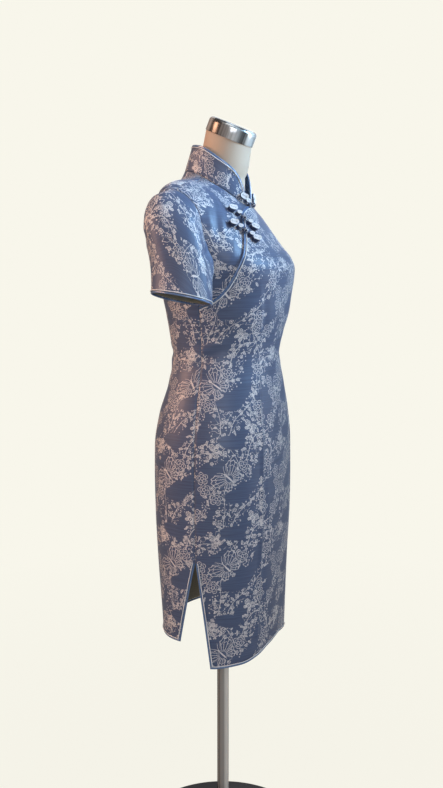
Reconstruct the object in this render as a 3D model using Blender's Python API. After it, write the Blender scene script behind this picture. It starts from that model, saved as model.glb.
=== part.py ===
"""A knee-length cheongsam on a limbless dress form with a pole and a round base.

Metres, +Z up, the wearer facing -Y with the right hand side at -X.  The origin is on the floor under
the middle of the base plate.  One closed surface, "the figure", is worked out from a table of level
sections and a neck column; every panel is a wall whose outer points lie on it.
"""
import math
from collections import namedtuple

import bmesh
import bpy
import numpy as np
from mathutils import Matrix, Vector

MM = 0.001

# --- driving sizes ------------------------------------------------------------------------------
CLOTH = 1.6 * MM            # panel wall
SEAM_HALF = 0.2 * MM        # half the gap at a sewn seam
BINDING_WIDTH = 4.0 * MM
BINDING_PROUD = 0.4 * MM    # the folded satin stands this far above the panel
BINDING_WALL = 2.4 * MM
PIPING_RADIUS = 0.7 * MM
REST_GAP = 0.3 * MM         # between pieces that touch
PANEL_BACK_OFF = BINDING_WIDTH + REST_GAP + SEAM_HALF
PIPING_INSET = PANEL_BACK_OFF + PIPING_RADIUS + 0.1 * MM
PIPING_LIFT = PIPING_RADIUS + REST_GAP

HEM_BACK_HEIGHT = 0.472
SLIT_TOP = 0.642
SIDE_OPENING_HEIGHT = 1.142  # where the curved opening meets the right side seam
UNDERARM_HEIGHT = 1.190

FORM_INSET = 6.4 * MM        # form below the outer face of the cloth
FORM_SHOULDER_INSET = 4.7 * MM
FORM_SHOULDER_START = 1.346  # the inset changes over a short height
FORM_SHOULDER_BLEND = 0.012
FORM_CENTRE_SHARE = 0.6      # the rings' centres follow this share of the sections' shift
FORM_BOTTOM = 0.800
FORM_ARM_PLATE = 0.160       # the form is cut flat at the arms
NECK_RADIUS = 0.0485
CAP_RADIUS = 0.0480
CAP_HEIGHT = 0.027
CAP_TILT = math.radians(22.5)
CAP_FOOT = Vector((0.0, -0.0125, 1.4705))
POLE_RADIUS = 0.0125
BASE_RADIUS = 0.176
BASE_HEIGHT = 0.014
SOCKET_RADIUS = 0.024
SOCKET_HEIGHT = 0.050

# --- the figure: level sections, each a front and a back half superellipse ------------------------
Section = namedtuple("Section", "z half_width middle front back front_power back_power")
SECTIONS = [
    Section(0.430, 0.158, 0.000, 0.1230, 0.1120, 2.30, 2.3),
    Section(0.520, 0.161, 0.000, 0.1255, 0.1175, 2.30, 2.3),
    Section(0.620, 0.166, 0.000, 0.1285, 0.1245, 2.30, 2.3),
    Section(0.720, 0.170, 0.000, 0.1325, 0.1290, 2.30, 2.3),
    Section(0.800, 0.172, 0.000, 0.1322, 0.1300, 2.30, 2.3),
    Section(0.860, 0.171, 0.000, 0.1315, 0.1293, 2.30, 2.3),
    Section(0.922, 0.163, 0.000, 0.1278, 0.1203, 2.25, 2.25),
    Section(0.984, 0.146, 0.000, 0.1203, 0.1020, 2.20, 2.2),
    Section(1.018, 0.134, 0.000, 0.1147, 0.0970, 2.20, 2.2),
    Section(1.045, 0.129, 0.000, 0.1127, 0.0957, 2.20, 2.2),
    Section(1.080, 0.131, 0.000, 0.1188, 0.1010, 2.30, 2.2),
    Section(1.126, 0.139, 0.000, 0.1300, 0.1070, 2.50, 2.3),
    Section(1.160, 0.144, 0.000, 0.1338, 0.1135, 2.60, 2.3),
    Section(1.190, 0.149, 0.000, 0.1374, 0.1145, 2.70, 2.4),
    Section(1.210, 0.154, 0.001, 0.1386, 0.1145, 2.70, 2.4),
    Section(1.233, 0.162, 0.006, 0.1305, 0.1140, 2.60, 2.4),
    Section(1.258, 0.170, 0.013, 0.1100, 0.1125, 2.40, 2.4),
    Section(1.292, 0.179, 0.022, 0.0846, 0.1090, 2.20, 2.3),
    Section(1.320, 0.184, 0.030, 0.0604, 0.1055, 2.20, 2.3),
    Section(1.342, 0.183, 0.036, 0.0385, 0.1010, 2.20, 2.2),
    Section(1.355, 0.174, 0.038, 0.0230, 0.0975, 2.20, 2.2),
    Section(1.366, 0.154, 0.039, 0.0090, 0.0940, 2.20, 2.2),
    Section(1.377, 0.119, 0.039, -0.0060, 0.0885, 2.20, 2.1),
    Section(1.386, 0.082, 0.038, -0.0150, 0.0840, 2.10, 2.0),
    Section(1.396, 0.056, 0.037, -0.0200, 0.0785, 2.00, 2.0),
    Section(1.410, 0.040, 0.036, -0.0240, 0.0710, 2.00, 2.0),
    Section(1.440, 0.030, 0.034, -0.0240, 0.0600, 2.00, 2.0),
]
NECK_MIDDLE = 0.0104         # the neck column, an upright ellipse
NECK_HALF_DEPTH = 0.0655
NECK_HALF_WIDTH = 0.0605
NECK_COLUMN_FOOT = 1.280
NECK_FILLET = 0.022
TORSO_SCALE = 0.075          # turn the two section ratios into rough distances
NECK_SCALE = 0.062

# The neck seam, seen from the side, from the middle of the front to the nape.
NeckPoint = namedtuple("NeckPoint", "y z")
NECK_POINTS = [
    NeckPoint(-0.0556, 1.3380), NeckPoint(-0.0428, 1.3489), NeckPoint(-0.0214, 1.3668),
    NeckPoint(0.0000, 1.3805), NeckPoint(0.0276, 1.3960), NeckPoint(0.0552, 1.4035),
    NeckPoint(0.0764, 1.4060),
]

# The curved opening of the front, from the right side seam to the middle of the neck.
OpeningPoint = namedtuple("OpeningPoint", "x y z")
OPENING = [
    OpeningPoint(-0.1416, 0.0000, 1.1420),
    OpeningPoint(-0.1423, -0.0288, 1.1555),
    OpeningPoint(-0.1425, -0.0506, 1.1744),
    OpeningPoint(-0.1430, -0.0670, 1.1970),
    OpeningPoint(-0.1420, -0.0775, 1.2173),
    OpeningPoint(-0.1352, -0.0850, 1.2388),
    OpeningPoint(-0.1190, -0.0840, 1.2610),
    OpeningPoint(-0.0985, -0.0770, 1.2850),
    OpeningPoint(-0.0740, -0.0660, 1.3080),
    OpeningPoint(-0.0490, -0.0580, 1.3240),
    OpeningPoint(-0.0240, -0.0560, 1.3335),
    OpeningPoint(0.0000, -0.0560, 1.3380),
]

# The armhole, seen from the side, from the underarm forwards and round.
ArmholePoint = namedtuple("ArmholePoint", "y z")
ARMHOLE = [
    ArmholePoint(0.015, 1.190),
    ArmholePoint(-0.018, 1.198),
    ArmholePoint(-0.036, 1.226),
    ArmholePoint(-0.022, 1.270),
    ArmholePoint(-0.014, 1.310),
    ArmholePoint(0.004, 1.343),
    ArmholePoint(0.036, 1.359),
    ArmholePoint(0.066, 1.343),
    ArmholePoint(0.082, 1.305),
    ArmholePoint(0.084, 1.262),
    ArmholePoint(0.074, 1.224),
    ArmholePoint(0.048, 1.199),
]
ARMHOLE_TOP = 6              # the row where the shoulder seam ends

# The hem of the front, by the angle from the side seam.
HemPoint = namedtuple("HemPoint", "angle z")
FRONT_HEM = [HemPoint(0.0, 0.430), HemPoint(26.0, 0.4305), HemPoint(44.0, 0.438), HemPoint(60.0, 0.450),
             HemPoint(90.0, 0.458)]
SLIT_SPREAD_FRONT = math.radians(13.0)   # how far the slit edges part at the hem
SLIT_SPREAD_BACK = math.radians(18.5)

HEM_TO_SLIT = [0.0, 0.26, 0.52, 0.76]     # shares of the way from the hem to the slit's top
NOTCH = 0.5 * MM             # the panel's corner beside the end of a binding
SKIRT_HEIGHTS = [SLIT_TOP, SLIT_TOP + NOTCH, 0.72, 0.78, 0.83, 0.88, 0.925]
HIP_HEIGHT = 0.965           # level rows end here

# Soft pressed folds of the front, by the angle from the side seam at their two ends.
Fold = namedtuple("Fold", "low high low_angle high_angle width lift dip")
FOLDS = [
    Fold(0.470, 1.000, 49.0, 52.0, 0.016, 2.6 * MM, 2.4 * MM),
    Fold(1.050, 1.190, 57.0, 48.0, 0.014, 1.0 * MM, 2.4 * MM),
]

UNDERLAP_HIDDEN = 0.012      # how far the right front runs on under the front panel
UNDERLAP_RUN = 0.022
UNDERLAP_BEND = 5            # the column that meets the bend in the side seam
UNDERLAP_DROP = BINDING_WALL - BINDING_PROUD + 1.7 * MM

# The sleeve.
CUFF_MIDDLE = Vector((0.215, 0.0125, 1.166))
CUFF_HALF_DEPTH = 0.0625
CUFF_HALF_WIDTH = 0.048
ARM_ABDUCTION = math.radians(20.0)
CUFF_SLOPE = 0.144           # the front of the cuff hangs lower
SLEEVE_PUFF = 3.5            # how far the sleeve's head swells forwards and back

# The collar, by the distance along its base from the middle of the front.
CollarEdge = namedtuple("CollarEdge", "along height")
COLLAR_EDGE = [
    CollarEdge(0.0030, 0.0003), CollarEdge(0.0085, 0.0050), CollarEdge(0.0140, 0.0115),
    CollarEdge(0.0190, 0.0195), CollarEdge(0.0245, 0.0290), CollarEdge(0.0305, 0.0375),
    CollarEdge(0.0380, 0.0445), CollarEdge(0.0470, 0.0495), CollarEdge(0.0570, 0.0520),
    CollarEdge(0.0700, 0.0528), CollarEdge(0.0900, 0.0530), CollarEdge(0.1150, 0.0535),
    CollarEdge(0.1450, 0.0540),
]
COLLAR_FRONT_PLACES = [0.0030, 0.0085, 0.0140, 0.0245, 0.0305, 0.0470]     # besides the panels' places
COLLAR_GAP = 0.6 * MM        # above the neck seam, which the panels meet in straight runs
COLLAR_TOP_MIDDLE = 0.0027
COLLAR_TOP_HALF_DEPTH = 0.0583
COLLAR_TOP_HALF_WIDTH = 0.0565
COLLAR_RISE = 0.0520

# Columns across each panel, and points round each ring.
OPENING_STEPS = 15
NECK_FRONT_STEPS = 6         # half of the front of the neck seam
NECK_BACK_STEPS = 5          # half of the back
SHOULDER_STEPS = 6
ARMHOLE_STEPS = 12           # half an armhole
WAIST_STEPS = 8              # from the hip row to the underarm
WAIST_HEIGHTS = np.linspace(HIP_HEIGHT, UNDERARM_HEIGHT, WAIST_STEPS + 1)[:-1]
CROWD = 1.25                 # bodice rows lie closer together towards the shoulders
SPAN_STEPS = 24              # fine steps between two chosen points of a seam line
SLEEVE_ROWS = 7
FORM_COUNT = 28

FORM_HEIGHTS = [FORM_BOTTOM, 0.87, 0.93, 0.99, 1.04, 1.09, 1.14, 1.19, 1.23, 1.27, 1.30, 1.318, 1.332,
                1.343, 1.353, 1.361, 1.368, 1.375, 1.381, 1.387, 1.393]
FORM_NECK_IN = 6.0 * MM      # the form's neck is slimmer than the dress's
NeckLevel = namedtuple("NeckLevel", "y z tilt radius")
NECK_LEVELS = [NeckLevel(0.0020, 1.405, 7, 0.0500), NeckLevel(-0.0040, 1.425, 13, 0.0490),
               NeckLevel(-0.0090, 1.452, 19, NECK_RADIUS)]
FORM_FILLET = 0.010

# Frog fastenings: how far to the right of the middle each crosses the opening.
FROG_PLACES = {"frog_chest_upper": 0.0715, "frog_chest_lower": 0.0975}
FROG_LARGE = (15.0 * MM, 9.0 * MM)
FROG_SMALL = (9.5 * MM, 6.4 * MM)
FROG_HEIGHT = 5.4 * MM
FROG_LARGE_OUT = 23.0 * MM
FROG_SMALL_OUT = 12.0 * MM
KNOT_RADIUS = 3.7 * MM
KNOT_LIFT = 6.2 * MM
COLLAR_FROG_LARGE = (0.0212, 0.0074)     # along the seam, and above it
COLLAR_FROG_SMALL = (0.0118, 0.0048)
COLLAR_FROG_FORWARD = 2.0 * MM
LOOP_RADIUS = 5.3 * MM
LOOP_CORD = 0.95 * MM
LOOP_LIFT = 4.4 * MM

MATERIALS = {
    "jacquard": ((0.105, 0.135, 0.240), 0.45, 0.0),
    "satin": ((0.080, 0.130, 0.300), 0.35, 0.0),
    "silver_cord": ((0.560, 0.540, 0.520), 0.35, 0.0),
    "frog_cord": ((0.060, 0.080, 0.160), 0.40, 0.0),
    "form_cover": ((0.560, 0.530, 0.490), 0.60, 0.0),
    "chrome": ((0.640, 0.640, 0.640), 0.12, 1.0),
    "base_paint": ((0.060, 0.060, 0.065), 0.35, 0.0),
}


# --- curves and the figure's surface --------------------------------------------------------------
class SmoothTable:
    """A smooth curve through a table, that never overshoots its values."""

    def __init__(self, places, values):
        self.places = np.array(places, float)
        self.values = np.array(values, float)
        steps = np.diff(self.places)
        rises = np.diff(self.values) / steps
        self.slopes = np.zeros(len(self.places))
        self.slopes[0], self.slopes[-1] = rises[0], rises[-1]
        for i in range(1, len(self.places) - 1):
            if rises[i - 1] * rises[i] > 0:
                before = 2 * steps[i] + steps[i - 1]
                after = steps[i] + 2 * steps[i - 1]
                self.slopes[i] = (before + after) / (before / rises[i - 1] + after / rises[i])

    def __call__(self, place):
        place = np.clip(place, self.places[0], self.places[-1])
        i = np.clip(np.searchsorted(self.places, place, side="right") - 1, 0, len(self.places) - 2)
        step = self.places[i + 1] - self.places[i]
        t = (place - self.places[i]) / step
        return ((1 + 2 * t) * (1 - t) ** 2 * self.values[i] + t * (1 - t) ** 2 * step * self.slopes[i]
                + t * t * (3 - 2 * t) * self.values[i + 1] + t * t * (t - 1) * step * self.slopes[i + 1])


def section_table(column):
    return SmoothTable([s.z for s in SECTIONS], [getattr(s, column) for s in SECTIONS])


HALF_WIDTH = section_table("half_width")
MIDDLE = section_table("middle")
FRONT = section_table("front")
BACK = section_table("back")
FRONT_POWER = section_table("front_power")
BACK_POWER = section_table("back_power")
NECK_SEAM = SmoothTable([p.y for p in NECK_POINTS], [p.z for p in NECK_POINTS])
COLLAR_HEIGHT = SmoothTable([p.along for p in COLLAR_EDGE], [p.height for p in COLLAR_EDGE])
HEM_HEIGHT = SmoothTable([math.radians(p.angle) for p in FRONT_HEM], [p.z for p in FRONT_HEM])


def figure_field(points, neck_in=0.0, fillet=NECK_FILLET):
    """Below zero inside the figure, above zero outside."""
    x, y, z = points[..., 0], points[..., 1], points[..., 2]
    middle = MIDDLE(z)
    in_front = y < middle
    depth = np.where(in_front, FRONT(z) + middle, BACK(z) - middle)
    power = np.where(in_front, FRONT_POWER(z), BACK_POWER(z))
    ratio = (np.abs(x) / HALF_WIDTH(z)) ** power + (np.abs(y - middle) / depth) ** power
    torso = TORSO_SCALE * (ratio ** (1 / power) - 1)
    ring = np.sqrt((x / NECK_HALF_WIDTH) ** 2 + ((y - NECK_MIDDLE) / NECK_HALF_DEPTH) ** 2)
    neck = NECK_SCALE * (ring - 1) + neck_in + np.maximum(NECK_COLUMN_FOOT - z, 0)
    near = np.maximum(fillet - np.abs(torso - neck), 0) / fillet
    return np.minimum(torso, neck) - near * near * fillet / 4


def figure_slope(points, step=0.2 * MM):
    slope = np.zeros(points.shape)
    for axis in range(3):
        shift = np.zeros(3)
        shift[axis] = step
        slope[..., axis] = (figure_field(points + shift) - figure_field(points - shift)) / (2 * step)
    return slope


def onto_figure(points, rounds=14):
    """Move points along the figure's slope until they lie on it."""
    points = np.array(points, float)
    for _ in range(rounds):
        slope = figure_slope(points)
        share = figure_field(points) / np.maximum((slope * slope).sum(-1), 1e-9)
        points = points - share[..., None] * slope
    return points


def outward(points):
    slope = figure_slope(points)
    return slope / np.linalg.norm(slope, axis=-1, keepdims=True)


def level_point(angle, z):
    """A point of the figure below the shoulders, by its angle from the wearer's right side."""
    angle, z = np.broadcast_arrays(np.asarray(angle, float), np.asarray(z, float))
    in_front = np.sin(angle) > 0
    middle = MIDDLE(z)
    depth = np.where(in_front, FRONT(z) + middle, BACK(z) - middle)
    power = np.where(in_front, FRONT_POWER(z), BACK_POWER(z))
    ratio = (np.abs(np.cos(angle)) / HALF_WIDTH(z)) ** power + (np.abs(np.sin(angle)) / depth) ** power
    radius = ratio ** (-1 / power)
    return np.stack([-radius * np.cos(angle), middle - radius * np.sin(angle), z], -1)


def spline(points, per_span=SPAN_STEPS, closed=False):
    """A fine smooth curve through chosen points."""
    points = np.array([tuple(p) for p in points], float)
    count = len(points)
    spans = count if closed else count - 1
    made = []
    for i in range(spans):
        p1, p2 = points[i], points[(i + 1) % count]
        p0 = points[i - 1] if closed or i > 0 else 2 * p1 - p2
        p3 = points[(i + 2) % count] if closed or i + 2 < count else 2 * p2 - p1
        for k in range(per_span):
            t = k / per_span
            made.append(0.5 * (2 * p1 + (p2 - p0) * t + (2 * p0 - 5 * p1 + 4 * p2 - p3) * t ** 2
                               + (3 * p1 - p0 - 3 * p2 + p3) * t ** 3))
    if not closed:
        made.append(points[-1])
    return np.array(made)


def lengths_along(curve):
    return np.concatenate([[0], np.cumsum(np.linalg.norm(np.diff(curve, axis=0), axis=1))])


def shares(count, crowd=1.0):
    """count + 1 shares from 0 to 1, closer together towards 1 where crowd is over 1."""
    return 1 - (1 - np.linspace(0, 1, count + 1)) ** crowd


def spaced(curve, count, crowd=1.0):
    """count + 1 points along a fine curve, at even distances or crowded towards its end."""
    lengths = lengths_along(curve)
    wanted = lengths[-1] * shares(count, crowd)
    return np.stack([np.interp(wanted, lengths, curve[:, k]) for k in range(3)], -1)


def side_x(y, z):
    """How far out the figure reaches at a place seen from the side."""
    low, high = np.full(np.shape(y), 0.05), np.full(np.shape(y), 0.25)
    for _ in range(40):
        mid = (low + high) / 2
        inside = figure_field(np.stack([mid, y, z], -1)) < 0
        low, high = np.where(inside, mid, low), np.where(inside, high, mid)
    return low


def mirrored(points):
    return points * np.array([-1.0, 1.0, 1.0])


# --- the seam lines ------------------------------------------------------------------------------
def neck_ring(angle):
    """The neck seam, by the angle from the middle of the front, positive to the wearer's left."""
    angle = np.asarray(angle, float)
    y = NECK_MIDDLE - NECK_HALF_DEPTH * np.cos(angle)
    return onto_figure(np.stack([NECK_HALF_WIDTH * np.sin(angle), y, NECK_SEAM(y)], -1))


_ring_angles = np.linspace(0, math.pi, 361)
_ring_lengths = lengths_along(neck_ring(_ring_angles))
SHOULDER_ALONG = float(np.interp(math.radians(101.0), _ring_angles, _ring_lengths))
NAPE_ALONG = float(_ring_lengths[-1])


def neck_angle(along):
    """The neck seam's angle at a distance along it from the middle of the front."""
    return np.sign(along) * np.interp(np.abs(along), _ring_lengths, _ring_angles)


def armhole_curve():
    """The left armhole, from the underarm forwards and round, on the figure."""
    side_view = spline(ARMHOLE, closed=True)
    y, z = side_view[:, 0], side_view[:, 1]
    return np.stack([side_x(y, z), y, z], -1)


ARMHOLE_CURVE = armhole_curve()
_top = ARMHOLE_TOP * SPAN_STEPS
_back_half = np.concatenate([ARMHOLE_CURVE[_top:], ARMHOLE_CURVE[:1]])[::-1]
ARMHOLE_FRONT = spaced(ARMHOLE_CURVE[:_top + 1], ARMHOLE_STEPS, CROWD)      # underarm to shoulder
ARMHOLE_BACK = spaced(_back_half, ARMHOLE_STEPS, CROWD)
NECK_FRONT_PLACES = np.linspace(0, SHOULDER_ALONG, NECK_FRONT_STEPS + 1)
NECK_BACK_PLACES = np.linspace(SHOULDER_ALONG, NAPE_ALONG, NECK_BACK_STEPS + 1)
NECK_FRONT = neck_ring(neck_angle(NECK_FRONT_PLACES))
NECK_BACK = neck_ring(neck_angle(NECK_BACK_PLACES))


def shoulder_seam():
    """From the side of the neck to the left armhole."""
    start, end = NECK_FRONT[-1], ARMHOLE_FRONT[-1]
    share = np.linspace(0, 1, SHOULDER_STEPS + 1)[:, None]
    return onto_figure(start * (1 - share) + end * share)


SHOULDER = shoulder_seam()
OPENING_CURVE = onto_figure(spline(OPENING))
OPENING_STATIONS = spaced(OPENING_CURVE, OPENING_STEPS)


# --- grids of points: [row][column], rows upwards, columns from the wearer's right to the left ---------
def filled(bottom, top, first, last):
    """A grid between four edges, on the figure; first and last are its end columns, run upwards."""
    upwards = [lengths_along(line) / lengths_along(line)[-1] for line in (first, last)]
    across = [lengths_along(line) / lengths_along(line)[-1] for line in (bottom, top)]
    v = np.mean(upwards, axis=0)[:, None, None]
    u = np.mean(across, axis=0)[None, :, None]
    sides = (1 - u) * first[:, None] + u * last[:, None]
    ends = (1 - v) * bottom[None] + v * top[None]
    corners = ((1 - u) * (1 - v) * bottom[0] + u * (1 - v) * bottom[-1]
               + (1 - u) * v * top[0] + u * v * top[-1])
    grid = onto_figure(sides + ends - corners)
    grid[0], grid[-1], grid[:, 0], grid[:, -1] = bottom, top, first, last
    return grid


def pulled_in(grid, low=0.0, high=0.0, right=0.0, left=0.0):
    """The grid with its four edges moved inwards, each by a width or a width for each point.

    Points move along the grid's own lines, far enough for the width asked square to the edge.
    """
    moved = grid.copy()

    def shift(edge, inner, amount):
        amount = np.broadcast_to(np.asarray(amount, float), edge.shape[:1])[:, None]
        run = unit(np.gradient(edge, axis=0))
        inward = unit(inner - edge)
        square = inward - (inward * run).sum(1, keepdims=True) * run
        return amount * inward / np.maximum(np.linalg.norm(square, axis=1, keepdims=True), 0.4)

    moved[0] += shift(grid[0], grid[1], low)
    moved[-1] += shift(grid[-1], grid[-2], high)
    moved[:, 0] += shift(grid[:, 0], grid[:, 1], right)
    moved[:, -1] += shift(grid[:, -1], grid[:, -2], left)
    return moved


def fold_height(points):
    """How far the pressed folds and darts of the front stand out or dip."""
    height = np.zeros(points.shape[:-1])
    angle = np.arctan2(-points[..., 1], np.abs(points[..., 0]))
    radius = np.linalg.norm(points[..., :2], axis=-1)
    for fold in FOLDS:
        share = (points[..., 2] - fold.low) / (fold.high - fold.low)
        middle = np.radians(fold.low_angle + share * (fold.high_angle - fold.low_angle))
        across = (angle - middle) * radius / fold.width
        fade = np.where((share > 0) & (share < 1), np.sin(np.pi * np.clip(share, 0, 1)) ** 0.5, 0)
        ridge = fold.lift * np.exp(-((across + 0.55) ** 2) * 2.2)
        trough = fold.dip * np.exp(-((across - 0.55) ** 2) * 2.2)
        height += fade * (ridge - trough)
    return np.where(points[..., 1] < 0, height, 0)


def front_columns(count):
    """Column angles from the right side seam to the left, closer together over the pressed folds."""
    share = np.linspace(0, 1, 401)
    density = 1 + 0.9 * (np.exp(-((share - 0.285) / 0.07) ** 2) + np.exp(-((share - 0.715) / 0.07) ** 2))
    total = np.concatenate([[0], np.cumsum((density[1:] + density[:-1]) / 2)])
    return np.interp(np.linspace(0, total[-1], count + 1), total, share) * math.pi


def front_grid():
    """The whole front panel; the curved opening, the neck and the shoulder are its top row."""
    angles = front_columns(OPENING_STEPS + 1 + NECK_FRONT_STEPS + SHOULDER_STEPS)
    rows = []
    hem = HEM_HEIGHT(np.minimum(angles, math.pi - angles))
    for part in HEM_TO_SLIT:
        z = hem + (SLIT_TOP - hem) * part
        spread = SLIT_SPREAD_FRONT * (1 - part)
        rows.append(level_point(spread + angles * (math.pi - 2 * spread) / math.pi, z))
    for z in SKIRT_HEIGHTS:
        rows.append(level_point(angles, z))
    bottom = level_point(angles, HIP_HEIGHT)
    left = np.concatenate([level_point(math.pi, WAIST_HEIGHTS), ARMHOLE_FRONT])
    right = level_point(0.0, np.linspace(HIP_HEIGHT, SIDE_OPENING_HEIGHT, len(left)))
    notch = neck_ring(neck_angle(NOTCH))[None]
    top = np.concatenate([OPENING_STATIONS, notch, NECK_FRONT[1:], SHOULDER[1:]])
    right[-1] = top[0]
    return np.concatenate([np.array(rows), filled(bottom, top, right, left)])


def back_grid():
    """The whole back panel, its columns from the wearer's right to the left."""
    angles = -np.linspace(0, math.pi, 2 * (NECK_BACK_STEPS + SHOULDER_STEPS) + 1)
    rows = []
    for part in HEM_TO_SLIT:
        z = HEM_BACK_HEIGHT + (SLIT_TOP - HEM_BACK_HEIGHT) * part
        spread = SLIT_SPREAD_BACK * (1 - part)
        rows.append(level_point(-spread + angles * (math.pi - 2 * spread) / math.pi, z))
    for z in SKIRT_HEIGHTS + list(WAIST_HEIGHTS):
        rows.append(level_point(angles, z))
    left_half = np.concatenate([NECK_BACK[::-1], SHOULDER[1:]])
    top = np.concatenate([mirrored(left_half[::-1]), left_half[1:]])
    bottom = level_point(angles, UNDERARM_HEIGHT)
    bottom[0], bottom[-1] = mirrored(ARMHOLE_BACK[0]), ARMHOLE_BACK[0]
    upper = filled(bottom, top, mirrored(ARMHOLE_BACK), ARMHOLE_BACK)
    return np.concatenate([np.array(rows), upper])


def unit(vectors):
    return vectors / np.linalg.norm(vectors, axis=-1, keepdims=True)


def across_opening(points):
    """Each opening point's direction along the figure, away from the right front, under the front."""
    return unit(np.cross(unit(np.gradient(points, axis=0)), outward(points)))


def past_opening(points):
    """How far points lie to the right of the opening's edge; below zero where the front covers them."""
    flat = points.reshape(-1, 3)
    nearest = np.linalg.norm(flat[:, None] - OPENING_CURVE[None], axis=2).argmin(1)
    away = flat - OPENING_CURVE[nearest]
    covered = (away * across_opening(OPENING_CURVE)[nearest]).sum(1) > 0
    distance = np.linalg.norm(away, axis=1) * np.where(covered, -1, 1)
    return distance.reshape(points.shape[:-1])


def underlap_drop(points):
    """The right front sinks so that the front panel and its binding lie over it."""
    share = np.clip((past_opening(points) - 0.5 * MM) / UNDERLAP_RUN, 0, 1)
    return UNDERLAP_DROP * (1 - share * share * (3 - 2 * share))


def underlap_grid():
    """The right front: the side seam is its lowest row, the hidden edge under the front its last column."""
    armhole = mirrored(ARMHOLE_FRONT)
    hidden = spaced(OPENING_CURVE, ARMHOLE_STEPS)
    hidden = onto_figure(hidden + UNDERLAP_HIDDEN * across_opening(hidden))
    hidden[0] = level_point(0.0, SIDE_OPENING_HEIGHT - UNDERLAP_HIDDEN)
    hidden[-1] = neck_ring(neck_angle(0.8 * UNDERLAP_HIDDEN))
    top = mirrored(np.concatenate([NECK_FRONT, SHOULDER[1:]]))[::-1]
    top = np.concatenate([top, hidden[-1:]])
    bend = level_point(0.0, WAIST_HEIGHTS[-1])
    upper, lower = UNDERLAP_BEND, len(top) - 1 - UNDERLAP_BEND
    above_bend = np.linspace(armhole[0], bend, upper + 1)
    below_bend = np.linspace(bend, hidden[0], lower + 1)
    bottom = np.concatenate([above_bend, below_bend[1:]])
    return filled(bottom, top, armhole, hidden)


# --- making meshes ---------------------------------------------------------------------------------
def remove_all():
    for thing in list(bpy.data.objects):
        bpy.data.objects.remove(thing, do_unlink=True)


def collection(name):
    made = bpy.data.collections.new(name)
    bpy.context.scene.collection.children.link(made)
    return made


def material(name):
    found = bpy.data.materials.get(name)
    if found:
        return found
    colour, roughness, metallic = MATERIALS[name]
    made = bpy.data.materials.new(name)
    made.use_nodes = True
    shader = made.node_tree.nodes["Principled BSDF"]
    shader.inputs["Base Color"].default_value = (*colour, 1.0)
    shader.inputs["Roughness"].default_value = roughness
    shader.inputs["Metallic"].default_value = metallic
    return made


def facing_out(bm):
    """Turn every face of a closed body outwards."""
    bmesh.ops.recalc_face_normals(bm, faces=bm.faces)
    if bm.calc_volume(signed=True) < 0:
        bmesh.ops.reverse_faces(bm, faces=bm.faces)


def object_from(name, bm, finish):
    """Turn a finished bmesh into a named object of the dress's collection."""
    facing_out(bm)
    mesh = bpy.data.meshes.new(name)
    bm.to_mesh(mesh)
    bm.free()
    mesh.materials.append(material(finish))
    mesh.shade_smooth()
    mesh.set_sharp_from_angle(angle=math.radians(40))
    thing = bpy.data.objects.new(name, mesh)
    PARTS.objects.link(thing)
    return thing


def best_diagonals(points):
    """For each cell of a grid, whether its diagonal from its first corner keeps nearer the figure."""
    corners = points[:-1, :-1], points[:-1, 1:], points[1:, 1:], points[1:, :-1]
    level = sum(figure_field(corner) for corner in corners) / 4
    first = np.abs(figure_field((corners[0] + corners[2]) / 2) - level)
    second = np.abs(figure_field((corners[1] + corners[3]) / 2) - level)
    return first <= second


def wall(name, outer, inner, finish, closed=False, on_figure=False):
    """A closed wall between an outer and an inner grid of points; closed joins the last column on."""
    bm = bmesh.new()
    rows, columns = outer.shape[:2]
    faces = [[[bm.verts.new(point) for point in row] for row in grid] for grid in (outer, inner)]
    spans = columns if closed else columns - 1
    diagonals = best_diagonals(outer) if on_figure else None

    def quad(a, b, c, d, diagonal=None):
        if diagonal is None:
            bm.faces.new((a, b, c, d))
        elif diagonal:
            bm.faces.new((a, b, c))
            bm.faces.new((a, c, d))
        else:
            bm.faces.new((a, b, d))
            bm.faces.new((b, c, d))

    for i in range(rows - 1):
        for j in range(spans):
            k = (j + 1) % columns
            diagonal = bool(diagonals[i, j]) if on_figure else None
            top, under = faces
            quad(top[i][j], top[i][k], top[i + 1][k], top[i + 1][j], diagonal)
            quad(under[i][j], under[i + 1][j], under[i + 1][k], under[i][k], diagonal)
    for j in range(spans):
        k = (j + 1) % columns
        quad(faces[0][0][j], faces[1][0][j], faces[1][0][k], faces[0][0][k])
        quad(faces[0][-1][j], faces[0][-1][k], faces[1][-1][k], faces[1][-1][j])
    if not closed:
        for i in range(rows - 1):
            quad(faces[0][i][0], faces[0][i + 1][0], faces[1][i + 1][0], faces[1][i][0])
            quad(faces[0][i][-1], faces[1][i][-1], faces[1][i + 1][-1], faces[0][i + 1][-1])
    return object_from(name, bm, finish)


def piping(name, points, finish="silver_cord", closed=False):
    """A thin round cord along a line of points."""
    curve = bpy.data.curves.new(name, "CURVE")
    curve.dimensions = "3D"
    curve.bevel_depth = PIPING_RADIUS
    curve.bevel_resolution = 0
    curve.use_fill_caps = True
    line = curve.splines.new("POLY")
    line.points.add(len(points) - 1)
    for place, point in zip(line.points, points):
        place.co = (*point, 1.0)
    line.use_cyclic_u = closed
    thing = bpy.data.objects.new(name, curve)
    thing.data.materials.append(material(finish))
    PARTS.objects.link(thing)
    return thing


def around_edge(grid, first_row):
    """Follow a panel's free edge: down its right slit, along its hem and up its left slit."""
    return np.concatenate([grid[first_row:0:-1, 0], grid[0], grid[1:first_row + 1, -1]])


def ring_wall(name, edge, inner_edge, normals, inner_normals, finish, closed=False):
    """A flat binding strip between an edge line and a line inside it."""
    high = np.stack([edge + BINDING_PROUD * normals, inner_edge + BINDING_PROUD * inner_normals])
    depth = BINDING_WALL - BINDING_PROUD
    low = np.stack([edge - depth * normals, inner_edge - depth * inner_normals])
    return wall(name, high, low, finish, closed)


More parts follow.
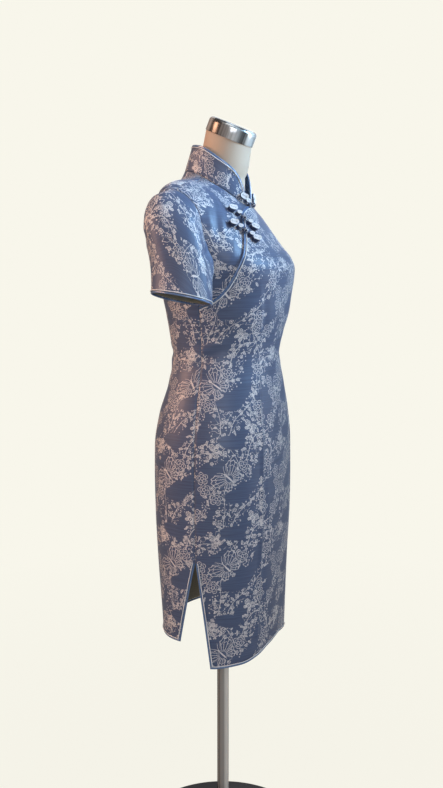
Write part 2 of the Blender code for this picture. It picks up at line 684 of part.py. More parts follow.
def strip(name, edge, inner_edge, finish="satin", closed=False, normal=outward, trim=0.4 * MM):
    """A binding, its open ends drawn back a little from what they meet."""
    edge, inner_edge = edge.copy(), inner_edge.copy()
    if not closed:
        for line in (edge, inner_edge):
            line[0] += trim * unit(line[1] - line[0])
            line[-1] += trim * unit(line[-2] - line[-1])
    return ring_wall(name, edge, inner_edge, normal(edge), normal(inner_edge), finish, closed)


def lifted(points, normals, height=PIPING_LIFT):
    return points + height * normals


# --- the cloth ---------------------------------------------------------------------------------------
def build_front():
    grid = front_grid()
    slit_row = len(HEM_TO_SLIT)
    middle = OPENING_STEPS                      # the column that ends the opening
    side = np.where(np.arange(len(grid)) <= slit_row, PANEL_BACK_OFF, SEAM_HALF)
    high = np.where(np.arange(grid.shape[1]) <= middle, PANEL_BACK_OFF, SEAM_HALF)
    panel = pulled_in(grid, low=PANEL_BACK_OFF, high=high, right=side, left=side)
    normals = outward(panel)
    panel = panel + fold_height(panel)[..., None] * normals
    wall("front_panel", panel, panel - CLOTH * normals, "jacquard", on_figure=True)

    edge = pulled_in(grid, right=SEAM_HALF, left=SEAM_HALF)
    inner = pulled_in(grid, low=BINDING_WIDTH, right=BINDING_WIDTH, left=BINDING_WIDTH)
    cord = pulled_in(grid, low=PIPING_INSET, right=PIPING_INSET, left=PIPING_INSET)
    for lines in (edge, inner, cord):
        lines += fold_height(lines)[..., None] * outward(lines)
    strip("front_edge_binding", around_edge(edge, slit_row), around_edge(inner, slit_row))
    line = around_edge(cord, slit_row)
    piping("front_edge_piping", lifted(line, outward(line)))

    inner = pulled_in(grid, high=BINDING_WIDTH)[-1, :middle + 1]
    strip("opening_binding", grid[-1, :middle + 1], inner)
    line = pulled_in(grid, high=PIPING_INSET)[-1, :middle + 1]
    line[0] += 4 * SEAM_HALF * unit(line[1] - line[0])
    piping("opening_piping", lifted(line, outward(line)))


def build_back():
    grid = back_grid()
    slit_row = len(HEM_TO_SLIT)
    side = np.where(np.arange(len(grid)) <= slit_row, PANEL_BACK_OFF, SEAM_HALF)
    panel = pulled_in(grid, low=PANEL_BACK_OFF, high=SEAM_HALF, right=side, left=side)
    wall("back_panel", panel, panel - CLOTH * outward(panel), "jacquard", on_figure=True)
    edge = pulled_in(grid, right=SEAM_HALF, left=SEAM_HALF)
    inner = pulled_in(grid, low=BINDING_WIDTH, right=BINDING_WIDTH, left=BINDING_WIDTH)
    strip("back_edge_binding", around_edge(edge, slit_row), around_edge(inner, slit_row))
    line = around_edge(pulled_in(grid, low=PIPING_INSET, right=PIPING_INSET, left=PIPING_INSET), slit_row)
    piping("back_edge_piping", lifted(line, outward(line)))


def build_underlap():
    grid = underlap_grid()
    right = np.full(len(grid), SEAM_HALF)
    right[0] = 0.0
    grid = pulled_in(grid, high=SEAM_HALF, right=right)
    grid[0, :, 1] -= 2 * SEAM_HALF              # off the side seam
    normals = outward(grid)
    sunk = grid - underlap_drop(grid)[..., None] * normals
    wall("right_front", sunk, sunk - CLOTH * normals, "jacquard", on_figure=True)


def sleeve_grid():
    """The left sleeve, from the armhole down to the cuff's edge, and its outward directions."""
    start = np.concatenate([ARMHOLE_FRONT, ARMHOLE_BACK[-2:0:-1]])
    turn = math.pi * shares(ARMHOLE_STEPS, 0.5 + CROWD / 2)
    turn = np.concatenate([turn, 2 * math.pi - turn[-2:0:-1]])[:, None]
    across = np.array([math.cos(ARM_ABDUCTION), 0.0, math.sin(ARM_ABDUCTION)])
    down = np.array([math.sin(ARM_ABDUCTION), 0.0, -math.cos(ARM_ABDUCTION)])
    forward = unit(np.array([0.0, -1.0, -CUFF_SLOPE]))
    end = (np.array(CUFF_MIDDLE) - CUFF_HALF_WIDTH * np.cos(turn) * across
           + CUFF_HALF_DEPTH * np.sin(turn) * forward)
    height = (start[:, 2:] - start[:, 2].min()) / np.ptp(start[:, 2])
    leave = np.array([0.55, 0.0, -0.84]) * (1 - height) + np.array([0.93, 0.0, -0.36]) * height
    middle = start.mean(axis=0)
    leave = leave + (start - middle) * np.array([0.0, SLEEVE_PUFF, 0.0])
    reach = np.linalg.norm(end - start, axis=1, keepdims=True)
    grid = []
    for s in np.linspace(0, 1, SLEEVE_ROWS + 1):
        grid.append((2 * s ** 3 - 3 * s ** 2 + 1) * start + (s ** 3 - 2 * s ** 2 + s) * reach * unit(leave)
                    + (3 * s ** 2 - 2 * s ** 3) * end + (s ** 3 - s ** 2) * reach * down)
    grid = np.array(grid)
    around = np.roll(grid, -1, axis=1) - np.roll(grid, 1, axis=1)
    along = np.gradient(grid, axis=0)
    return grid, unit(np.cross(along, around))


def build_sleeve(side):
    grid, normals = sleeve_grid()
    if side == "right":
        grid, normals = mirrored(grid), mirrored(normals)
    inward_start = unit(grid[1] - grid[0])
    inward_end = unit(grid[-2] - grid[-1])
    cloth = grid.copy()
    cloth[0] += 2 * SEAM_HALF * inward_start
    cloth[-1] += PANEL_BACK_OFF * inward_end
    wall(f"sleeve_{side}", cloth, cloth - CLOTH * normals, "jacquard", closed=True)
    last = normals[-1]
    inner = grid[-1] + BINDING_WIDTH * inward_end
    ring_wall(f"cuff_{side}_binding", grid[-1], inner, last, last, "satin", closed=True)
    line = grid[-1] + PIPING_INSET * inward_end
    piping(f"cuff_{side}_piping", lifted(line, last), closed=True)


def collar_point(along, height):
    """A point of the collar by the distance from the middle of the front and the height above its seam."""
    along, height = np.broadcast_arrays(np.asarray(along, float), np.asarray(height, float))
    angle = neck_angle(along)
    base = neck_ring(angle)
    top = np.stack([COLLAR_TOP_HALF_WIDTH * np.sin(angle),
                    COLLAR_TOP_MIDDLE - COLLAR_TOP_HALF_DEPTH * np.cos(angle),
                    base[..., 2] + COLLAR_RISE], -1)
    return base + height[..., None] * unit(top - base)


def collar_normal(along, height, step=0.5 * MM):
    run = collar_point(along + step, height) - collar_point(along - step, height)
    rise = collar_point(along, height + step) - collar_point(along, height - step)
    return unit(np.cross(run, rise))


def collar_outline():
    """The collar's free edge, right front end to left front end, and its inward directions."""
    places = np.unique(np.concatenate([COLLAR_FRONT_PLACES, NECK_FRONT_PLACES[1:], NECK_BACK_PLACES[1:]]))
    half = np.stack([places, COLLAR_HEIGHT(places)], -1)
    run = unit(np.gradient(half, axis=0))
    inward = np.stack([run[:, 1], -run[:, 0]], -1)
    flip = np.array([-1.0, 1.0])
    edge = np.concatenate([half * flip, half[-2::-1]])
    inwards = np.concatenate([inward * flip, inward[-2::-1]])
    edge[len(half) - 1, 0] = -NAPE_ALONG
    inwards[len(half) - 1] = (0.0, -1.0)
    return edge, inwards


def raised_ends(line, floor):
    """The line with its two ends moved along it up to a floor height."""
    line = line.copy()
    for end, nxt in ((0, 1), (-1, -2)):
        share = (floor - line[end, 1]) / (line[nxt, 1] - line[end, 1])
        if share > 0:
            line[end] += share * (line[nxt] - line[end])
    return line


def collar_strip_points(flat):
    return collar_point(flat[:, 0], flat[:, 1]), collar_normal(flat[:, 0], flat[:, 1])


def build_collar():
    edge, inward = collar_outline()
    top = (edge + PANEL_BACK_OFF * inward)[1:-1]
    share = np.linspace(0, 1, 4)[:, None]
    along = np.broadcast_to(top[:, 0], (4, len(top)))
    height = COLLAR_GAP + (top[:, 1] - COLLAR_GAP) * share
    outer = collar_point(along, height)
    normals = collar_normal(along, height)
    wall("collar", outer, outer - CLOTH * normals, "jacquard")
    outside, outside_normals = collar_strip_points(raised_ends(edge, COLLAR_GAP))
    inside, inside_normals = collar_strip_points(raised_ends(edge + BINDING_WIDTH * inward, COLLAR_GAP))
    ring_wall("collar_binding", outside, inside, outside_normals, inside_normals, "satin")
    line, normals = collar_strip_points(raised_ends((edge + PIPING_INSET * inward)[1:-1], 4 * REST_GAP))
    piping("collar_piping", lifted(line, normals))


# --- the frog fastenings -------------------------------------------------------------------------------
def seat_frame(point, normal, along):
    """A frame whose Z is the cloth's outward direction and whose X runs along the frog."""
    z = Vector(normal).normalized()
    x = Vector(along)
    x = (x - x.dot(z) * z).normalized()
    return Matrix.Translation(Vector(point)) @ Matrix((x, z.cross(x), z)).transposed().to_4x4()


def piece(name, bm, frame, group, finish):
    bm.transform(frame)
    facing_out(bm)
    mesh = bpy.data.meshes.new(name)
    bm.to_mesh(mesh)
    bm.free()
    mesh.materials.append(material(finish))
    thing = bpy.data.objects.new(name, mesh)
    group.objects.link(thing)
    if group is CUTTERS:
        thing.hide_render = True
        thing.display_type = "WIRE"
    return thing


def coil_mesh(size):
    """An oval coil standing on its edge-wound cord, with a hollow in its top."""
    bm = bmesh.new()
    bmesh.ops.create_cone(bm, cap_ends=True, segments=14, radius1=0.5, radius2=0.5, depth=FROG_HEIGHT)
    bmesh.ops.scale(bm, vec=(size[0], size[1], 1.0), verts=bm.verts)
    bmesh.ops.translate(bm, vec=(0, 0, FROG_HEIGHT / 2), verts=bm.verts)
    top = [face for face in bm.faces if face.normal.z > 0.9]
    bmesh.ops.inset_region(bm, faces=top, thickness=1.5 * MM, depth=-1.0 * MM)
    return bm


def bar_mesh(start, end, low, high, width):
    bm = bmesh.new()
    bmesh.ops.create_cube(bm, size=1.0)
    bmesh.ops.scale(bm, vec=(end - start, width, high - low), verts=bm.verts)
    bmesh.ops.translate(bm, vec=((start + end) / 2, 0, (low + high) / 2), verts=bm.verts)
    return bm


def knot_mesh():
    bm = bmesh.new()
    bmesh.ops.create_uvsphere(bm, u_segments=10, v_segments=7, radius=KNOT_RADIUS)
    bmesh.ops.translate(bm, vec=(0, 0, KNOT_LIFT), verts=bm.verts)
    return bm


def loop_mesh():
    """A ring of cord round the knot, spun from a small circle."""
    bm = bmesh.new()
    made = bmesh.ops.create_circle(bm, cap_ends=False, segments=6, radius=LOOP_CORD,
                                   matrix=Matrix.Translation((LOOP_RADIUS, 0, LOOP_LIFT))
                                   @ Matrix.Rotation(math.pi / 2, 4, "X"))
    edges = list({edge for vert in made["verts"] for edge in vert.link_edges})
    bmesh.ops.spin(bm, geom=made["verts"] + edges, cent=(0, 0, LOOP_LIFT), axis=(0, 0, 1),
                   angle=2 * math.pi, steps=14, use_merge=True)
    return bm


def frog_half(name, seats, has_knot):
    """One half: seats are the frames of its large coil, its small coil and the crossing."""
    large, small, crossing = seats
    whole = piece(name, coil_mesh(FROG_LARGE), large, PARTS, "frog_cord")
    joins = [piece(f"{name}_small", coil_mesh(FROG_SMALL), small, CUTTERS, "frog_cord")]
    reach = FROG_SMALL_OUT - FROG_SMALL[0] / 4
    if has_knot:
        joins.append(piece(f"{name}_neck", bar_mesh(0, reach, 2.15 * MM, 3.15 * MM, 2.4 * MM),
                           crossing, CUTTERS, "frog_cord"))
        joins.append(piece(f"{name}_knot", knot_mesh(), crossing, CUTTERS, "frog_cord"))
    else:
        low = LOOP_LIFT - 0.6 * MM
        joins.append(piece(f"{name}_arm", bar_mesh(LOOP_RADIUS, reach, low, low + 1.2 * MM, 2.4 * MM),
                           crossing, CUTTERS, "frog_cord"))
        joins.append(piece(f"{name}_loop", loop_mesh(), crossing, CUTTERS, "frog_cord"))
    for other in joins:
        join = whole.modifiers.new(other.name, "BOOLEAN")
        join.operation = "UNION"
        join.solver = "EXACT"
        join.object = other


def build_chest_frog(name, out_from_middle):
    """A frog square across the opening: the knot on the right front, the loop on the front."""
    place = int(np.abs(OPENING_CURVE[:, 0] + out_from_middle).argmin())
    crossing = OPENING_CURVE[place]
    normal = outward(crossing[None])[0]
    across = across_opening(OPENING_CURVE)[place]
    for half, sign in (("knot", -1.0), ("loop", 1.0)):
        seats = []
        for out in (FROG_LARGE_OUT, FROG_SMALL_OUT):
            point = onto_figure((crossing + sign * out * across)[None])
            facing = outward(point)
            drop = underlap_drop(point) if sign < 0 else np.zeros(1)
            rest = 4 * REST_GAP if sign < 0 else REST_GAP
            seat = (point + (rest - drop)[..., None] * facing)[0]
            seats.append(seat_frame(seat, facing[0], sign * across))
        seats.append(seat_frame(crossing, normal, sign * across))
        frog_half(f"{name}_{half}", seats, half == "knot")


def build_collar_frog():
    """The frog at the foot of the collar, its two halves rising from the middle of the front."""
    clear = PIPING_LIFT + PIPING_RADIUS + REST_GAP
    crossing = collar_point(0.0, 0.0)
    normal = collar_normal(0.0, 0.0)
    for half, sign in (("knot", -1.0), ("loop", 1.0)):
        seats = []
        away = None
        for out, height in (COLLAR_FROG_LARGE, COLLAR_FROG_SMALL):
            point = collar_point(sign * out, height)
            away = point - crossing if away is None else away
            facing = collar_normal(sign * out, height)
            seats.append(seat_frame(point + clear * facing, facing, away))
        seats.append(seat_frame(crossing + COLLAR_FROG_FORWARD * normal, normal, away))
        frog_half(f"frog_collar_{half}", seats, half == "knot")


# --- the dress form and its stand -----------------------------------------------------------------------
def form_inset(z):
    """The form lies close under the shoulders, which carry the dress, and clear of it lower down."""
    share = np.clip((z - FORM_SHOULDER_START) / FORM_SHOULDER_BLEND, 0, 1)
    return FORM_INSET + (FORM_SHOULDER_INSET - FORM_INSET) * share * share * (3 - 2 * share)


def form_level(z, turn):
    """One level ring of the form's torso."""
    centre = np.array([0.0, FORM_CENTRE_SHARE * float(MIDDLE(z)), z])
    depth = (float(FRONT(z)) + float(BACK(z))) / 2
    ray = unit(np.stack([max(float(HALF_WIDTH(z)), 0.06) * np.cos(turn),
                         max(depth, 0.055) * np.sin(turn), np.zeros(len(turn))], -1))
    low, high = np.zeros(len(turn)), np.full(len(turn), 0.30)
    for _ in range(40):
        mid = (low + high) / 2
        inside = figure_field(centre + mid[:, None] * ray, FORM_NECK_IN, FORM_FILLET) < 0
        low, high = np.where(inside, mid, low), np.where(inside, high, mid)
    ring = centre + low[:, None] * ray
    ring = ring - form_inset(z) * outward(ring)
    soft = 2.5 * MM
    x = FORM_ARM_PLATE - soft * np.log1p(np.exp((FORM_ARM_PLATE - np.abs(ring[:, 0])) / soft))
    ring[:, 0] = np.sign(ring[:, 0]) * np.maximum(x, 0)
    return ring


def neck_level(centre, tilt, radius, turn):
    flat = np.stack([radius * np.cos(turn), radius * np.sin(turn), np.zeros(len(turn))], -1)
    lean = np.array(Matrix.Rotation(tilt, 3, "X"))
    return np.array(centre) + flat @ lean.T


def build_form():
    turn = np.linspace(0, 2 * math.pi, FORM_COUNT, endpoint=False)
    rings = [form_level(z, turn) for z in FORM_HEIGHTS]
    rings[0][:, 2] = FORM_BOTTOM
    for level in NECK_LEVELS:
        rings.append(neck_level((0.0, level.y, level.z), math.radians(level.tilt), level.radius, turn))
    rings.append(neck_level(tuple(CAP_FOOT), CAP_TILT, NECK_RADIUS, turn))
    bm = bmesh.new()
    made = [[bm.verts.new(point) for point in ring] for ring in rings]
    for lower, upper in zip(made, made[1:]):
        for i in range(FORM_COUNT):
            k = (i + 1) % FORM_COUNT
            bm.faces.new((lower[i], lower[k], upper[k], upper[i]))
    bm.faces.new(made[0])
    bm.faces.new(made[-1])
    object_from("form_torso", bm, "form_cover")


def build_cap():
    bm = bmesh.new()
    bmesh.ops.create_cone(bm, cap_ends=True, segments=28, radius1=CAP_RADIUS, radius2=CAP_RADIUS,
                          depth=CAP_HEIGHT)
    rim = [edge for edge in bm.edges if all(vert.co.z > 0 for vert in edge.verts)]
    bmesh.ops.bevel(bm, geom=rim, offset=3 * MM, segments=2, profile=0.5, affect="EDGES", material=-1)
    bmesh.ops.translate(bm, vec=(0, 0, CAP_HEIGHT / 2 + REST_GAP), verts=bm.verts)
    bm.transform(Matrix.Translation(CAP_FOOT) @ Matrix.Rotation(CAP_TILT, 4, "X"))
    object_from("form_neck_cap", bm, "chrome")


def build_pole():
    bm = bmesh.new()
    foot = BASE_HEIGHT + REST_GAP
    length = FORM_BOTTOM - REST_GAP - foot
    bmesh.ops.create_cone(bm, cap_ends=True, segments=24, radius1=POLE_RADIUS, radius2=POLE_RADIUS,
                          depth=length)
    bmesh.ops.translate(bm, vec=(0, 0, foot + length / 2), verts=bm.verts)
    object_from("stand_pole", bm, "chrome")


def build_base():
    """A round plate with a socket for the pole, turned from its outline."""
    bore = POLE_RADIUS + REST_GAP
    top = BASE_HEIGHT + SOCKET_HEIGHT
    outline = [
        (0.0, BASE_HEIGHT), (bore, BASE_HEIGHT), (bore, top), (SOCKET_RADIUS - 2 * MM, top),
        (SOCKET_RADIUS, top - 2 * MM), (SOCKET_RADIUS, BASE_HEIGHT + 4 * MM),
        (SOCKET_RADIUS + 8 * MM, BASE_HEIGHT), (BASE_RADIUS - 8 * MM, BASE_HEIGHT - 4 * MM),
        (BASE_RADIUS, BASE_HEIGHT - 9 * MM), (BASE_RADIUS, 1 * MM), (BASE_RADIUS - 1 * MM, 0.0), (0.0, 0.0),
    ]
    bm = bmesh.new()
    verts = [bm.verts.new((x, 0, z)) for x, z in outline]
    edges = [bm.edges.new(pair) for pair in zip(verts, verts[1:])]
    bmesh.ops.spin(bm, geom=verts + edges, cent=(0, 0, 0), axis=(0, 0, 1), angle=2 * math.pi, steps=32,
                   use_merge=True)
    bmesh.ops.remove_doubles(bm, verts=bm.verts, dist=0.01 * MM)
    object_from("stand_base", bm, "base_paint")


remove_all()
PARTS = collection("cheongsam_dress_on_dress_form")
CUTTERS = collection("joins")
build_front()
build_back()
build_underlap()
for wearer_side in ("right", "left"):
    build_sleeve(wearer_side)
build_collar()
build_collar_frog()
for frog_name, frog_place in FROG_PLACES.items():
    build_chest_frog(frog_name, frog_place)
build_form()
build_cap()
build_pole()
build_base()
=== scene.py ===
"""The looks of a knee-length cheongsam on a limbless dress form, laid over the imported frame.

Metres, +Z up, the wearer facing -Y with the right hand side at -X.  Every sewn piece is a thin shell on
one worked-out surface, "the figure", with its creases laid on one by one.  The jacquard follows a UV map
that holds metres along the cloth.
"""

import logging
from collections.abc import Callable
from dataclasses import dataclass
from enum import Enum
from functools import cache
from math import cos, pi, radians, sin, sqrt, tau
from typing import ClassVar

import bmesh
import bpy
import numpy as np
from mathutils import Matrix, Vector

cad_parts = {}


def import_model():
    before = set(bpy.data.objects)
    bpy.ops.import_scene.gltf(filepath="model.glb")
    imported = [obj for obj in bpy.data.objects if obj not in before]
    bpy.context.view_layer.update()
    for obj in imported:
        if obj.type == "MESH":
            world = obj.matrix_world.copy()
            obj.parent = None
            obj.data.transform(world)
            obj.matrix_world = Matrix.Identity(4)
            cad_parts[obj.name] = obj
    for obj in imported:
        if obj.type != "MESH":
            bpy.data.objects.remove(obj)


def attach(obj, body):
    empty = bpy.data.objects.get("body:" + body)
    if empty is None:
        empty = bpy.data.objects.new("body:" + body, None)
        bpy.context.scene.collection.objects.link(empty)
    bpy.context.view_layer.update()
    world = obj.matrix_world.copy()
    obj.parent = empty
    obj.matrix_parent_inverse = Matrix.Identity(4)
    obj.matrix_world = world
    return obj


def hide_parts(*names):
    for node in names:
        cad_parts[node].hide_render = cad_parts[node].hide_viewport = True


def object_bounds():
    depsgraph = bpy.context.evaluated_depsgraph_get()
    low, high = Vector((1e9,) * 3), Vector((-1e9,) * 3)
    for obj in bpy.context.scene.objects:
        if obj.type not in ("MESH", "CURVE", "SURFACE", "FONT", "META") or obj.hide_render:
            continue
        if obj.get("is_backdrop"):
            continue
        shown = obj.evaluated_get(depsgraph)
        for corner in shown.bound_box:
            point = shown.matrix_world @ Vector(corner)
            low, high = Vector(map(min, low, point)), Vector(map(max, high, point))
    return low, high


log = logging.getLogger("cheongsam")
Array = np.ndarray
Values = Array | float
Pair = tuple[float, float]
Triple = tuple[float, float, float]
Colour = Triple
Material = bpy.types.Material
Shape = bmesh.types.BMesh
Piece = bpy.types.Object
Pieces = list[Piece]

MM = 0.001
BODY = "root"
CLOTH_MAP = "cloth"          # metres along the cut
BAKE_MAP = "OFBake"


class Side(Enum):
    """A side of the wearer."""

    RIGHT = -1
    LEFT = 1


# --- curves ---
class SmoothTable:
    """A smooth curve through a table, that never overshoots its values."""

    def __init__(self, rows: Array | list[Pair]) -> None:
        """Work out the slopes.

        Args:
            rows: (place, value) pairs, places rising.
        """
        self.places, self.values = np.array(rows, float).T
        steps = np.diff(self.places)
        rises = np.diff(self.values) / steps
        self.slopes = np.zeros(len(self.places))
        self.slopes[0], self.slopes[-1] = rises[0], rises[-1]
        for i in range(1, len(self.places) - 1):
            if rises[i - 1] * rises[i] > 0:
                before = 2 * steps[i] + steps[i - 1]
                after = steps[i] + 2 * steps[i - 1]
                self.slopes[i] = (before + after) / (before / rises[i - 1] + after / rises[i])

    def __call__(self, place: Values) -> Array:
        """The curve's value at a place or places."""
        place = np.clip(place, self.places[0], self.places[-1])
        i = np.clip(np.searchsorted(self.places, place, side="right") - 1, 0, len(self.places) - 2)
        step = self.places[i + 1] - self.places[i]
        t = (place - self.places[i]) / step
        return ((1 + 2 * t) * (1 - t) ** 2 * self.values[i] + t * (1 - t) ** 2 * step * self.slopes[i]
                + t * t * (3 - 2 * t) * self.values[i + 1] + t * t * (t - 1) * step * self.slopes[i + 1])


def unit(vectors: Array) -> Array:
    """The vectors at length one."""
    return vectors / np.linalg.norm(vectors, axis=-1, keepdims=True)


def smooth_step(share: Array) -> Array:
    """Ease from 0 to 1."""
    share = np.clip(share, 0, 1)
    return share * share * (3 - 2 * share)


def lengths_along(curve: Array) -> Array:
    """The distance run at each point of a curve."""
    return np.concatenate([[0], np.cumsum(np.linalg.norm(np.diff(curve, axis=0), axis=1))])


def shares_along(curve: Array) -> Array:
    """The distance run at each point of a curve, as a share of the whole."""
    lengths = lengths_along(curve)
    return lengths / lengths[-1]


def down_columns(grid: Array) -> Array:
    """The distance run down each column of a grid."""
    return np.stack([lengths_along(grid[:, j]) for j in range(grid.shape[1])], 1)


def at_lengths(curve: Array, wanted: Array) -> Array:
    """Points at distances along a curve."""
    lengths = lengths_along(curve)
    return np.stack([np.interp(wanted, lengths, curve[:, k]) for k in range(curve.shape[1])], -1)


def shares(count: int, crowd: float = 1.0) -> Array:
    """count + 1 shares from 0 to 1, closer together towards 1 where crowd is over 1."""
    return 1 - (1 - np.linspace(0, 1, count + 1)) ** crowd


def spaced(curve: Array, count: int, crowd: float = 1.0) -> Array:
    """count + 1 points along a fine curve, even or crowded towards its end."""
    return at_lengths(curve, lengths_along(curve)[-1] * shares(count, crowd))


def spline(points: list, per_span: int = 24, closed: bool = False) -> Array:
    """A fine smooth curve through chosen points.

    Args:
        points: the chosen points.
        per_span: steps between two of them.
        closed: whether the last is joined to the first.

    Returns:
        The curve's points.
    """
    points = np.array([tuple(p) for p in points], float)
    count = len(points)
    made = []
    for i in range(count if closed else count - 1):
        p1, p2 = points[i], points[(i + 1) % count]
        p0 = points[i - 1] if closed or i > 0 else 2 * p1 - p2
        p3 = points[(i + 2) % count] if closed or i + 2 < count else 2 * p2 - p1
        for k in range(per_span):
            t = k / per_span
            made.append(0.5 * (2 * p1 + (p2 - p0) * t + (2 * p0 - 5 * p1 + 4 * p2 - p3) * t ** 2
                               + (3 * p1 - p0 - 3 * p2 + p3) * t ** 3))
    if not closed:
        made.append(points[-1])
    return np.array(made)


def mirrored(points: Array) -> Array:
    """The same points on the wearer's other side."""
    return points * np.array([-1.0, 1.0, 1.0])


# --- the figure ---
# Level sections of a front and a back half superellipse: the height, then these; lengths in millimetres.
SECTION_COLUMNS = ("half_width", "middle", "front", "back", "front_power", "back_power")
SECTIONS = (
    (430, 158, 0, 123, 112, 2.3, 2.3),
    (520, 161, 0, 125.5, 117.5, 2.3, 2.3),
    (620, 166, 0, 128.5, 124.5, 2.3, 2.3),
    (720, 170, 0, 132.5, 129, 2.3, 2.3),
    (800, 172, 0, 132.2, 130, 2.3, 2.3),
    (860, 171, 0, 131.5, 129.3, 2.3, 2.3),
    (922, 163, 0, 127.8, 120.3, 2.25, 2.25),
    (984, 146, 0, 120.3, 102, 2.2, 2.2),
    (1018, 134, 0, 114.7, 97, 2.2, 2.2),
    (1045, 129, 0, 112.7, 95.7, 2.2, 2.2),
    (1080, 131, 0, 118.8, 101, 2.3, 2.2),
    (1126, 139, 0, 130, 107, 2.5, 2.3),
    (1160, 144, 0, 133.8, 113.5, 2.6, 2.3),
    (1190, 149, 0, 137.4, 114.5, 2.7, 2.4),
    (1210, 154, 1, 138.6, 114.5, 2.7, 2.4),
    (1233, 162, 6, 130.5, 114, 2.6, 2.4),
    (1258, 170, 13, 110, 112.5, 2.4, 2.4),
    (1292, 179, 22, 84.6, 109, 2.2, 2.3),
    (1320, 184, 30, 60.4, 105.5, 2.2, 2.3),
    (1342, 183, 36, 38.5, 101, 2.2, 2.2),
    (1355, 174, 38, 23, 97.5, 2.2, 2.2),
    (1366, 154, 39, 9, 94, 2.2, 2.2),
    (1377, 119, 39, -6, 88.5, 2.2, 2.1),
    (1386, 82, 38, -15, 84, 2.1, 2),
    (1396, 56, 37, -20, 78.5, 2, 2),
    (1410, 40, 36, -24, 71, 2, 2),
    (1440, 30, 34, -24, 60, 2, 2),
)
# The neck seam seen from the side, (y, z) in millimetres, from the middle of the front to the nape.
NECK_SEAM = ((-55.6, 1338), (-42.8, 1348.9), (-21.4, 1366.8), (0, 1380.5),
             (27.6, 1396), (55.2, 1403.5), (76.4, 1406))
# The armhole seen from the side, the same, from the underarm forwards and round.
ARMHOLE = ((15, 1190), (-18, 1198), (-36, 1226), (-22, 1270), (-14, 1310), (4, 1343),
           (36, 1359), (66, 1343), (82, 1305), (84, 1262), (74, 1224), (48, 1199))
ARMHOLE_TOP = 6              # where the shoulder seam ends
# The curved opening, in millimetres, from the right side seam to the middle of the neck.
OPENING = ((-141.6, 0, 1142), (-142.3, -28.8, 1155.5), (-142.5, -50.6, 1174.4), (-143, -67, 1197),
           (-142, -77.5, 1217.3), (-135.2, -85, 1238.8), (-119, -84, 1261), (-98.5, -77, 1285),
           (-74, -66, 1308), (-49, -58, 1324), (-24, -56, 1333.5), (0, -56, 1338))


